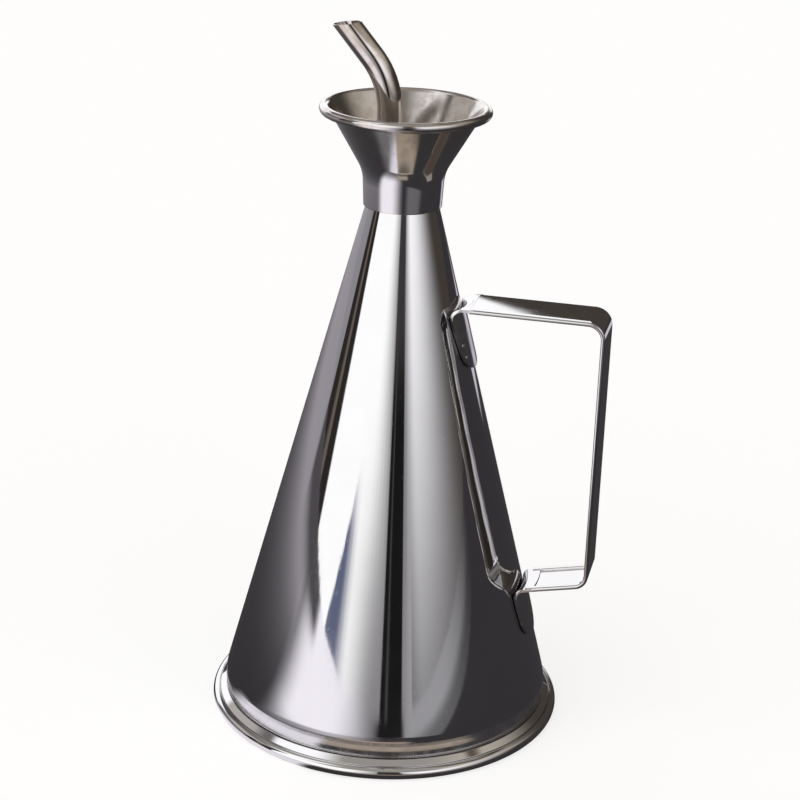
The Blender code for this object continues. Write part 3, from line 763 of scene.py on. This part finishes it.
# Brown patches, which are stain on some pieces and painted shade on others
PATCH_SCALE = 170.0
PATCH_LIMITS = (0.38, 0.62)
BROWN_LEAST = 0.45
STAIN_AND_SHADE_COLOUR = (0.47, 0.4, 0.34, 1.0)
HAZE_LEAST = 0.12
HAZE_SPREAD = 0.1
SCRATCH_ROUGHNESS = 0.05
STEEL_TONE_SCALE = 55.0
SHEET_WAVES = (28.0, 28.0, 44.0)
SILICONE_GRAIN = 2200.0
SILICONE_COLOUR = (0.8, 0.8, 0.77, 1.0)
SILICONE_HANDLED = (0.71, 0.7, 0.66, 1.0)
SILICONE_DUST = (0.55, 0.52, 0.47, 1.0)


def new_group(name, inputs, outputs):
    """A shader node group whose sockets are given as (name, kind, value) and (name, kind)."""
    group = bpy.data.node_groups.new(name, "ShaderNodeTree")
    for socket_name, kind, value in inputs:
        socket = group.interface.new_socket(socket_name, in_out="INPUT", socket_type=kind)
        if value is not None:
            socket.default_value = value
    for socket_name, kind in outputs:
        group.interface.new_socket(socket_name, in_out="OUTPUT", socket_type=kind)
    entry = group.nodes.new("NodeGroupInput")
    leave = group.nodes.new("NodeGroupOutput")
    return group, entry.outputs, leave.inputs


class Bench:
    """Adds nodes to one tree and joins them."""

    def __init__(self, tree):
        self.tree = tree

    def join(self, source, target):
        self.tree.links.new(source, target)

    def feed(self, target, value):
        if isinstance(value, bpy.types.NodeSocket):
            self.join(value, target)
        else:
            target.default_value = value

    def math(self, operation, *values, clamp=False):
        node = self.tree.nodes.new("ShaderNodeMath")
        node.operation = operation
        node.use_clamp = clamp
        for socket, value in zip(node.inputs, values):
            self.feed(socket, value)
        return node.outputs[0]

    def vector(self, operation, *values):
        node = self.tree.nodes.new("ShaderNodeVectorMath")
        node.operation = operation
        for socket, value in zip(node.inputs, values):
            self.feed(socket, value)
        return node.outputs["Value" if operation in ("DOT_PRODUCT", "LENGTH") else "Vector"]

    def between(self, value, low, high, to_low=0.0, to_high=1.0, smooth=True):
        node = self.tree.nodes.new("ShaderNodeMapRange")
        node.interpolation_type = "SMOOTHSTEP" if smooth else "LINEAR"
        for name, item in zip(
            ("Value", "From Min", "From Max", "To Min", "To Max"),
            (value, low, high, to_low, to_high),
        ):
            self.feed(node.inputs[name], item)
        return node.outputs["Result"]

    def mix(self, share, first, second):
        node = self.tree.nodes.new("ShaderNodeMix")
        node.data_type = "RGBA"
        self.feed(node.inputs[0], share)
        self.feed(node.inputs[6], first)
        self.feed(node.inputs[7], second)
        return node.outputs[2]

    def noise(self, place, scale, detail=2.0, roughness=0.5):
        node = self.tree.nodes.new("ShaderNodeTexNoise")
        self.feed(node.inputs["Vector"], place)
        self.feed(node.inputs["Scale"], scale)
        self.feed(node.inputs["Detail"], detail)
        self.feed(node.inputs["Roughness"], roughness)
        return node.outputs["Fac"]

    def mark(self, name):
        node = self.tree.nodes.new("ShaderNodeAttribute")
        node.attribute_name = name
        return node.outputs["Fac"]

    def group(self, group, **values):
        node = self.tree.nodes.new("ShaderNodeGroup")
        node.node_tree = group
        for name, value in values.items():
            self.feed(node.inputs[name.replace("_", " ")], value)
        return node.outputs


def hairlines_group():
    """Fine lines left by polishing: round the axis, and a few stray ones across it."""
    group, given, out = new_group(
        "hairlines",
        [
            ("Place", "NodeSocketVector", None),
            ("Lines", "NodeSocketFloat", 1.0),
            ("Strays", "NodeSocketFloat", 1.0),
        ],
        [("Height", "NodeSocketFloat"), ("Mask", "NodeSocketFloat")],
    )
    bench = Bench(group)
    split = group.nodes.new("ShaderNodeSeparateXYZ")
    bench.join(given["Place"], split.inputs[0])
    flat = bench.vector("MULTIPLY", given["Place"], (1.0, 1.0, 0.0))
    radius = bench.vector("LENGTH", flat)
    ring = group.nodes.new("ShaderNodeCombineXYZ")
    bench.join(radius, ring.inputs[0])
    bench.join(split.outputs["Z"], ring.inputs[1])
    drift = bench.vector("MULTIPLY", given["Place"], (LINES_DRIFT,) * 3)
    rings = bench.vector("MULTIPLY", ring.outputs[0], (LINES_SCALE, LINES_SCALE, 0.0))
    lines = bench.noise(bench.vector("ADD", rings, drift), 1.0, 3.0, 0.6)
    stray_place = bench.vector("MULTIPLY", given["Place"], STRAY_SCALE)
    turned_place = group.nodes.new("ShaderNodeMapping")
    turned_place.inputs["Rotation"].default_value = TILTED_STRAY_TURN
    bench.join(given["Place"], turned_place.inputs["Vector"])
    tilted_place = bench.vector("MULTIPLY", turned_place.outputs[0], TILTED_STRAY_SCALE)
    strays = bench.between(bench.noise(stray_place, 1.0), *STRAY_LIMITS)
    tilted = bench.between(bench.noise(tilted_place, 1.0), *TILTED_STRAY_LIMITS)
    stray = bench.math("MULTIPLY", bench.math("MAXIMUM", strays, tilted), given["Strays"])
    height = bench.math("SUBTRACT", bench.math("MULTIPLY", lines, given["Lines"]), stray)
    bench.join(height, out["Height"])
    bench.join(stray, out["Mask"])
    return group


def handling_group():
    """Faint smears and dust: a soft smear mask and a mask of small bright specks."""
    group, given, out = new_group(
        "handling",
        [
            ("Place", "NodeSocketVector", None),
            ("Smears", "NodeSocketFloat", 1.0),
            ("Specks", "NodeSocketFloat", 1.0),
        ],
        [("Smear", "NodeSocketFloat"), ("Speck", "NodeSocketFloat")],
    )
    bench = Bench(group)
    broad = bench.noise(given["Place"], SMEAR_SCALE, 3.0, 0.55)
    streak = bench.noise(bench.vector("MULTIPLY", given["Place"], SMEAR_STREAKS), 1.0)
    streaked = bench.math("MULTIPLY", broad, bench.math("ADD", streak, 0.5))
    smear = bench.between(streaked, *SMEAR_LIMITS)
    bench.join(bench.math("MULTIPLY", smear, given["Smears"]), out["Smear"])
    cells = group.nodes.new("ShaderNodeTexVoronoi")
    cells.inputs["Scale"].default_value = DUST_SCALE
    bench.join(given["Place"], cells.inputs["Vector"])
    pick = group.nodes.new("ShaderNodeSeparateColor")
    bench.join(cells.outputs["Color"], pick.inputs[0])
    chosen = bench.math("GREATER_THAN", pick.outputs[0], DUST_FREE_SHARE)
    size = bench.math("MULTIPLY_ADD", pick.outputs[1], DUST_SPREAD, DUST_SMALLEST)
    near = bench.math("LESS_THAN", cells.outputs["Distance"], size)
    speck = bench.math("MULTIPLY", bench.math("MULTIPLY", chosen, near), given["Specks"])
    bench.join(speck, out["Speck"])
    return group


def worn_and_shaded_group():
    """Dull and brown the steel where a piece is marked so, in cloudy patches. The brown is stain on
    some pieces and painted shade on others.
    """
    group, given, out = new_group(
        "worn_and_shaded_steel",
        [
            ("Place", "NodeSocketVector", None),
            ("Colour", "NodeSocketColor", None),
            ("Dulled", "NodeSocketFloat", 0.0),
            ("Stained", "NodeSocketFloat", 0.0),
        ],
        [("Colour", "NodeSocketColor"), ("Roughness", "NodeSocketFloat")],
    )
    bench = Bench(group)
    patches = bench.between(bench.noise(given["Place"], PATCH_SCALE, 4.0, 0.62), *PATCH_LIMITS)
    brown = bench.math("MULTIPLY_ADD", patches, 1 - BROWN_LEAST, BROWN_LEAST)
    cover = bench.math("MULTIPLY", given["Stained"], brown)
    bench.join(bench.mix(cover, given["Colour"], STAIN_AND_SHADE_COLOUR), out["Colour"])
    haze = bench.math("MULTIPLY_ADD", patches, HAZE_SPREAD, HAZE_LEAST)
    bench.join(bench.math("MULTIPLY", given["Dulled"], haze), out["Roughness"])
    return group


def new_finish(name):
    """A material with its node bench, its shader and the object's own coordinates."""
    material = bpy.data.materials.new(name)
    material.use_nodes = True
    tree = material.node_tree
    place_node = tree.nodes.new("ShaderNodeTexCoord")
    return material, Bench(tree), tree.nodes["Principled BSDF"].inputs, place_node.outputs["Object"]


def bump(bench, height, strength, distance):
    """Normals of a surface raised by a height."""
    node = bench.tree.nodes.new("ShaderNodeBump")
    node.inputs["Strength"].default_value = strength
    node.inputs["Distance"].default_value = distance
    bench.join(height, node.inputs["Height"])
    return node.outputs["Normal"]


def steel_finish(
    name, colour, deep, roughness, smear_roughness, lines, strays, specks, wave, relief
):
    """Steel with polishing lines, faint smears, dust and the slight waviness of pressed sheet."""
    material, bench, shader, spot = new_finish(name)
    marks = bench.group(hairlines, Place=spot, Lines=lines, Strays=strays)
    touched = bench.group(handling, Place=spot, Smears=1.0, Specks=specks)
    tone = bench.noise(spot, STEEL_TONE_SCALE)
    steel = bench.mix(tone, (*colour, 1.0), (*deep, 1.0))
    shader["Metallic"].default_value = 1.0
    # The dulled mark roughens the steel; the brown mark is stain and painted shade
    dulled = bench.mark("dulled")
    stain_and_shade = bench.mark("stain_and_shade")
    marked = bench.group(worn_and_shaded_steel, Place=spot, Colour=steel, Dulled=dulled, Stained=stain_and_shade)
    steel = bench.mix(touched["Speck"], marked["Colour"], DUST_COLOUR)
    bench.join(steel, shader["Base Color"])
    rough = bench.math("MULTIPLY_ADD", touched["Smear"], smear_roughness, roughness)
    rough = bench.math("ADD", rough, marked["Roughness"])
    rough = bench.math("MULTIPLY_ADD", marks["Mask"], SCRATCH_ROUGHNESS, rough)
    rough = bench.math("MULTIPLY_ADD", touched["Speck"], DUST_ROUGHNESS, rough)
    bench.join(rough, shader["Roughness"])
    waves = bench.noise(bench.vector("MULTIPLY", spot, SHEET_WAVES), 1.0, 1.0)
    scratches = bench.math("MULTIPLY", marks["Height"], relief)
    height = bench.math("MULTIPLY_ADD", waves, wave, scratches)
    bench.join(bump(bench, height, 1.0, 1.0 * MM), shader["Normal"])
    return material


def silicone_finish():
    """Milky silicone with a fine matt grain and slightly greyer edges of dust."""
    material, bench, shader, spot = new_finish("seal_silicone")
    touched = bench.group(handling, Place=spot, Smears=1.0, Specks=1.0)
    grain = bench.noise(spot, SILICONE_GRAIN)
    tone = bench.mix(touched["Smear"], SILICONE_COLOUR, SILICONE_HANDLED)
    bench.join(bench.mix(touched["Speck"], tone, SILICONE_DUST), shader["Base Color"])
    bench.join(bench.math("MULTIPLY_ADD", grain, 0.16, 0.4), shader["Roughness"])
    shader["Subsurface Weight"].default_value = 0.15
    shader["Subsurface Radius"].default_value = (0.9 * MM, 0.9 * MM, 0.8 * MM)
    bench.join(bump(bench, grain, 0.5, 0.03 * MM), shader["Normal"])
    return material


# Studio and camera

CAMERA_PLACE = Vector((0.15688, -0.70764, 0.39585))
CAMERA_RIGHT = Vector((0.97310, 0.22767, 0.03545))
CAMERA_UP = Vector((-0.11254, 0.33536, 0.93534))
CAMERA_AHEAD = Vector((-0.20106, 0.91417, -0.35196))
CAMERA_LENS = 93.36
CAMERA_SENSOR = 36.0
CAMERA_SHIFT_X = 0.0019
TOWARDS_CAMERA = (0.2164, -0.9763, 0.0)
RIGHT_OF_CAMERA = (0.9763, 0.2164, 0.0)


def photo_camera():
    """Camera at the photograph's angle."""
    data = bpy.data.cameras.new("photo_camera")
    data.lens = CAMERA_LENS
    data.sensor_width = CAMERA_SENSOR
    data.shift_x = CAMERA_SHIFT_X
    data.clip_start = 0.01
    data.clip_end = 50.0
    camera = bpy.data.objects.new("photo_camera", data)
    bpy.context.scene.collection.objects.link(camera)
    camera.matrix_world = Matrix(
        (
            (CAMERA_RIGHT.x, CAMERA_UP.x, -CAMERA_AHEAD.x, CAMERA_PLACE.x),
            (CAMERA_RIGHT.y, CAMERA_UP.y, -CAMERA_AHEAD.y, CAMERA_PLACE.y),
            (CAMERA_RIGHT.z, CAMERA_UP.z, -CAMERA_AHEAD.z, CAMERA_PLACE.z),
            (0, 0, 0, 1),
        )
    )
    bpy.context.scene.camera = camera


def light_panel_group():
    """One soft-edged panel hung in the studio, laid over what is behind it."""
    group, given, out = new_group(
        "light_panel",
        [
            ("Behind", "NodeSocketColor", None),
            ("Azimuth", "NodeSocketFloat", 0.0),
            ("Elevation", "NodeSocketFloat", 0.0),
            ("Left", "NodeSocketFloat", 0.0),
            ("Left edge", "NodeSocketFloat", 1.0),
            ("Right", "NodeSocketFloat", 0.0),
            ("Right edge", "NodeSocketFloat", 1.0),
            ("Bottom", "NodeSocketFloat", 0.0),
            ("Bottom edge", "NodeSocketFloat", 1.0),
            ("Top", "NodeSocketFloat", 0.0),
            ("Top edge", "NodeSocketFloat", 1.0),
            ("Slant", "NodeSocketFloat", 0.0),
            ("Colour", "NodeSocketColor", None),
        ],
        [("Colour", "NodeSocketColor")],
    )
    bench = Bench(group)

    def rising(value, centre, edge):
        half = bench.math("MULTIPLY", edge, 0.5)
        low = bench.math("SUBTRACT", centre, half)
        high = bench.math("ADD", centre, half)
        return bench.between(value, low, high)

    leaning = bench.math("MULTIPLY_ADD", given["Elevation"], given["Slant"], given["Azimuth"])
    left = rising(leaning, given["Left"], given["Left edge"])
    right = rising(given["Azimuth"], given["Right"], given["Right edge"])
    bottom = rising(given["Elevation"], given["Bottom"], given["Bottom edge"])
    top = rising(given["Elevation"], given["Top"], given["Top edge"])
    across = bench.math("MULTIPLY", left, bench.math("SUBTRACT", 1.0, right))
    upright = bench.math("MULTIPLY", bottom, bench.math("SUBTRACT", 1.0, top))
    mask = bench.math("MULTIPLY", across, upright)
    bench.join(bench.mix(mask, given["Behind"], given["Colour"]), out["Colour"])
    return group


# Panels round the studio, each over the ones before it. Azimuth 0 is towards the camera and 90 is
# to its right; where a span passes 180 it is counted from 0 to 360. Each side is given with the
# width over which it fades, and a left side can lean by its slant, in degrees across for each
# degree of height. The last value is the colour in which polished steel shows the panel.
PANELS = [
    # name, left, edge, right, edge, bottom, edge, top, edge, slant, colour
    ("grey ceiling", -5, 1, 365, 1, 47, 28, 95, 1, 0, (146, 142, 136)),
    ("left wall", 190, 20, 264.5, 4, -90, 1, 6, 10, 0, (136, 133, 139)),
    ("slanted backdrop corner", 241.3, 0.6, 228, 6, 14, 4, 22, 3, 3.6, (250, 250, 252)),
    ("raised backdrop corner", 182.4, 1.6, 228, 6, 14, 4, 29, 3, 0, (250, 250, 252)),
    ("white backdrop", 178.2, 1, 228, 6, -10, 4, 17, 4, 0, (250, 250, 252)),
    ("low backdrop", 160, 6, 180, 1, -10, 4, 12, 4, 0, (250, 250, 252)),
    ("grey beam", 228, 6, 276, 6, 16, 6, 40, 8, 0, (172, 167, 162)),
    ("right wall", 44, 16, 112, 40, 24, 20, 62, 14, 0, (168, 162, 152)),
    ("dark corner of the ceiling", 83, 6, 128, 8, 51, 4, 72, 8, 0, (92, 80, 73)),
    ("gap beside the softbox", -96, 3, -73, 3, -30, 4, 26, 10, 0, (40, 37, 35)),
    ("glint in the gap", -87, 3, -82, 3, -30, 4, 30, 10, 0, (98, 90, 82)),
    ("left softbox", -72.8, 1.2, -8, 34, -60, 1, 47, 10, 0, (255, 255, 255)),
    ("dim foot of the softbox", -22, 34, 20, 1, -60, 1, 4, 9, 0, (132, 130, 132)),
    ("overhead softbox", -98, 6, -58, 30, 45, 4, 74, 6, 0, (252, 252, 255)),
    ("right diffuser", 20, 20, 61, 72, 4, 22, 40, 20, 0.25, (250, 249, 252)),
    ("camera cloth", -2.6, 1.6, 12.6, 2, -60, 1, 44, 10, 0, (57, 53, 56)),
    ("foot of the cloth", -2.6, 1.6, 12.6, 2, -60, 1, 9.5, 3, 0, (24, 23, 23)),
    ("thin bright stand", 0.8, 1.4, 2.6, 1.4, -60, 1, 12, 6, 0, (64, 63, 62)),
    ("tinted low panel", -49.4, 1.4, -35, 13, -60, 1, 4.6, 3, -2.6, (92, 98, 122)),
]

# Sheets of a painted reflection: the table glows with them only for rays that the steel mirrors.
# Their near and far sides are measured in metres, from the cruet's axis for a reach and towards the
# camera for a front.
SHEETS = [
    # name, left, edge, right, edge, near, edge, far, edge, measured as, colour
    ("left of the table", 186, 20, 285, 6, 0.62, 1.1, 9, 1, "reach", (146, 142, 148)),
    ("white sheet", -69, 22, -17, 38, 0.17, 0.2, 9, 1, "reach", (240, 236, 243)),
    ("gap behind the sheet", -97, 4, -57, 6, 1.5, 1.2, 9, 1, "reach", (75, 72, 75)),
    ("right of the table", 12, 16, 60, 50, 0.36, 0.05, 9, 1, "front", (98, 97, 99)),
    ("far right of the table", 12, 16, 60, 50, 0.72, 0.5, 9, 1, "front", (149, 148, 151)),
    ("shade of the cloth", -4, 5, 13.4, 4, 0.8, 0.4, 9, 1, "reach", (27, 27, 28)),
    ("wooden board", -32, 10, 40, 10, 0.079, 0.006, 0.099, 0.01, "reach", (160, 147, 133)),
    ("end of the board", -22, 10, 14, 8, 0.118, 0.02, 0.18, 0.05, "reach", (156, 143, 130)),
    ("sheet at the foot", -80, 20, -27, 6, 0, 0.01, 0.097, 0.014, "reach", (222, 218, 226)),
    ("pale sheet behind", 140, 4, 155, 6, 0.58, 0.1, 1.0, 0.2, "reach", (184, 178, 188)),
]
# The table as the steel mirrors it where no sheet lies: dark, a painted shadow of the cruet round
# its foot
TABLE_SHADE = (50, 48, 50)
ROOM_LEFT = (70, 70, 74)
ROOM_RIGHT = (62, 57, 52)
STEEL_SHINE = 0.66
TABLE_COLOUR = (0.42, 0.42, 0.42, 1.0)
TABLE_GLOW = 0.745
TABLE_RADIUS = 6.0
TABLE_BELOW = 0.05 * MM
WHITE = (1.0, 1.0, 1.0, 1.0)


def seen(colour):
    """Light that polished steel shows as a colour from 0 to 255."""
    values = []
    for value in colour:
        level = value / 255
        linear = level / 12.92 if level <= 0.04045 else ((level + 0.055) / 1.055) ** 2.4
        values.append(linear / STEEL_SHINE)
    return (*values, 1.0)


def bearings(bench, aim):
    """Azimuth of a direction or a place, from -180 to 180 and from 0 to 360, and its front."""
    aside = bench.vector("DOT_PRODUCT", aim, RIGHT_OF_CAMERA)
    towards = bench.vector("DOT_PRODUCT", aim, TOWARDS_CAMERA)
    azimuth = bench.math("DEGREES", bench.math("ARCTAN2", aside, towards))
    full = bench.math("MODULO", bench.math("ADD", azimuth, 360.0), 360.0)
    return azimuth, full, towards


def hang_panel(bench, name, behind, azimuth, elevation, spans, slant, level):
    """Lay one panel over what is behind it. Its spans run left, edge, right, edge and upwards."""
    sockets = (
        "Left", "Left edge", "Right", "Right edge", "Bottom", "Bottom edge", "Top", "Top edge"
    )
    panel = bench.tree.nodes.new("ShaderNodeGroup")
    panel.node_tree = light_panel
    panel.label = name
    bench.feed(panel.inputs["Behind"], behind)
    bench.feed(panel.inputs["Azimuth"], azimuth)
    bench.feed(panel.inputs["Elevation"], elevation)
    bench.feed(panel.inputs["Slant"], float(slant))
    bench.feed(panel.inputs["Colour"], seen(level))
    for socket, span in zip(sockets, spans):
        bench.feed(panel.inputs[socket], float(span))
    return panel.outputs["Colour"]


def studio_light():
    """The room round the cruet, which the steel mirrors. The camera sees plain white."""
    world = bpy.data.worlds.new("studio")
    bpy.context.scene.world = world
    world.use_nodes = True
    tree = world.node_tree
    bench = Bench(tree)
    tree.nodes.clear()
    aim = tree.nodes.new("ShaderNodeTexCoord").outputs["Generated"]
    azimuth, full, _ = bearings(bench, aim)
    split = tree.nodes.new("ShaderNodeSeparateXYZ")
    bench.join(aim, split.inputs[0])
    elevation = bench.math("DEGREES", bench.math("ARCSINE", split.outputs["Z"]))
    warmth = bench.between(azimuth, -20.0, 100.0)
    colour = bench.mix(warmth, seen(ROOM_LEFT), seen(ROOM_RIGHT))
    for name, *spans, slant, level in PANELS:
        turn = full if spans[2] > 180 or spans[0] > 100 else azimuth
        colour = hang_panel(bench, name, colour, turn, elevation, spans, slant, level)
    rays = tree.nodes.new("ShaderNodeLightPath")
    shown = bench.mix(rays.outputs["Is Camera Ray"], colour, WHITE)
    background = tree.nodes.new("ShaderNodeBackground")
    bench.join(shown, background.inputs["Color"])
    output = tree.nodes.new("ShaderNodeOutputWorld")
    bench.join(background.outputs[0], output.inputs["Surface"])


def studio_floor():
    """White table that keeps the cruet's shadow. The steel mirrors it as a painted reflection: a
    glow of the sheets that only mirrored rays see.
    """
    deselect_all()
    bpy.ops.mesh.primitive_circle_add(vertices=96, radius=TABLE_RADIUS, fill_type="NGON")
    floor = bpy.context.object
    floor.name = "table_top"
    material = bpy.data.materials.new("table_top")
    material.use_nodes = True
    tree = material.node_tree
    tree.nodes.clear()
    bench = Bench(tree)
    spot = tree.nodes.new("ShaderNodeTexCoord").outputs["Object"]
    azimuth, full, front = bearings(bench, spot)
    away = {"reach": bench.vector("LENGTH", spot), "front": front}
    painted_reflection = seen(TABLE_SHADE)
    for name, *spans, kind, level in SHEETS:
        turn = full if spans[2] > 180 else azimuth
        painted_reflection = hang_panel(bench, name, painted_reflection, turn, away[kind], spans, 0, level)
    plain = tree.nodes.new("ShaderNodeBsdfDiffuse")
    plain.inputs["Color"].default_value = TABLE_COLOUR
    shine = tree.nodes.new("ShaderNodeEmission")
    shine.inputs["Color"].default_value = WHITE
    shine.inputs["Strength"].default_value = TABLE_GLOW
    lit = tree.nodes.new("ShaderNodeAddShader")
    bench.join(plain.outputs[0], lit.inputs[0])
    bench.join(shine.outputs[0], lit.inputs[1])
    # Painted reflection: mirrored rays see the table glow with the sheets, not the lit table
    reflection_glow = tree.nodes.new("ShaderNodeEmission")
    bench.join(painted_reflection, reflection_glow.inputs["Color"])
    rays = tree.nodes.new("ShaderNodeLightPath")
    choose = tree.nodes.new("ShaderNodeMixShader")
    bench.join(rays.outputs["Is Glossy Ray"], choose.inputs[0])
    bench.join(lit.outputs[0], choose.inputs[1])
    bench.join(reflection_glow.outputs[0], choose.inputs[2])
    output = tree.nodes.new("ShaderNodeOutputMaterial")
    bench.join(choose.outputs[0], output.inputs["Surface"])
    floor.data.materials.append(material)
    floor.location = (0, 0, -TABLE_BELOW)


# Making the cruet

hairlines = hairlines_group()
handling = handling_group()
worn_and_shaded_steel = worn_and_shaded_group()
light_panel = light_panel_group()

mirror_steel = steel_finish(
    "mirror_steel",
    colour=(0.67, 0.667, 0.672),
    deep=(0.63, 0.625, 0.63),
    roughness=0.03,
    smear_roughness=0.035,
    lines=0.6,
    strays=1.0,
    specks=1.6,
    wave=0.02,
    relief=0.0008,
)
strap_steel = steel_finish(
    "strap_steel",
    colour=(0.64, 0.63, 0.63),
    deep=(0.6, 0.59, 0.59),
    roughness=0.012,
    smear_roughness=0.02,
    lines=0.6,
    strays=0.2,
    specks=1.0,
    wave=0.008,
    relief=0.0008,
)
satin_steel = steel_finish(
    "satin_steel",
    colour=(0.6, 0.59, 0.57),
    deep=(0.53, 0.52, 0.5),
    roughness=0.2,
    smear_roughness=0.1,
    lines=3.0,
    strays=1.0,
    specks=0.6,
    wave=0.02,
    relief=0.004,
)
silicone = silicone_finish()

place(cone_wall(), mirror_steel, "vessel", "polished_steel", "cone_shell")
place(pan_dish(), satin_steel, "vessel", "satin_steel", "base_pan")
place(bead_ring(), mirror_steel, "vessel", "polished_steel", "foot_ring")
place(sleeve_tube(), satin_steel, "vessel", "satin_steel", "neck_sleeve")
place(handle(), strap_steel, "vessel", "strap_steel", "handle_strap")
place(seal_washer(), silicone, "seal", "seal_silicone", "seal_ring")
place(pressed_cup(), satin_steel, "pourer", "satin_steel", "drip_cup")
place(flared_funnel(), mirror_steel, "pourer", "polished_steel", "drip_funnel")
place(bent_spout(), mirror_steel, "pourer", "polished_steel", "spout_tube")

photo_camera()
studio_light()
studio_floor()
bpy.context.scene.view_settings.view_transform = "Standard"
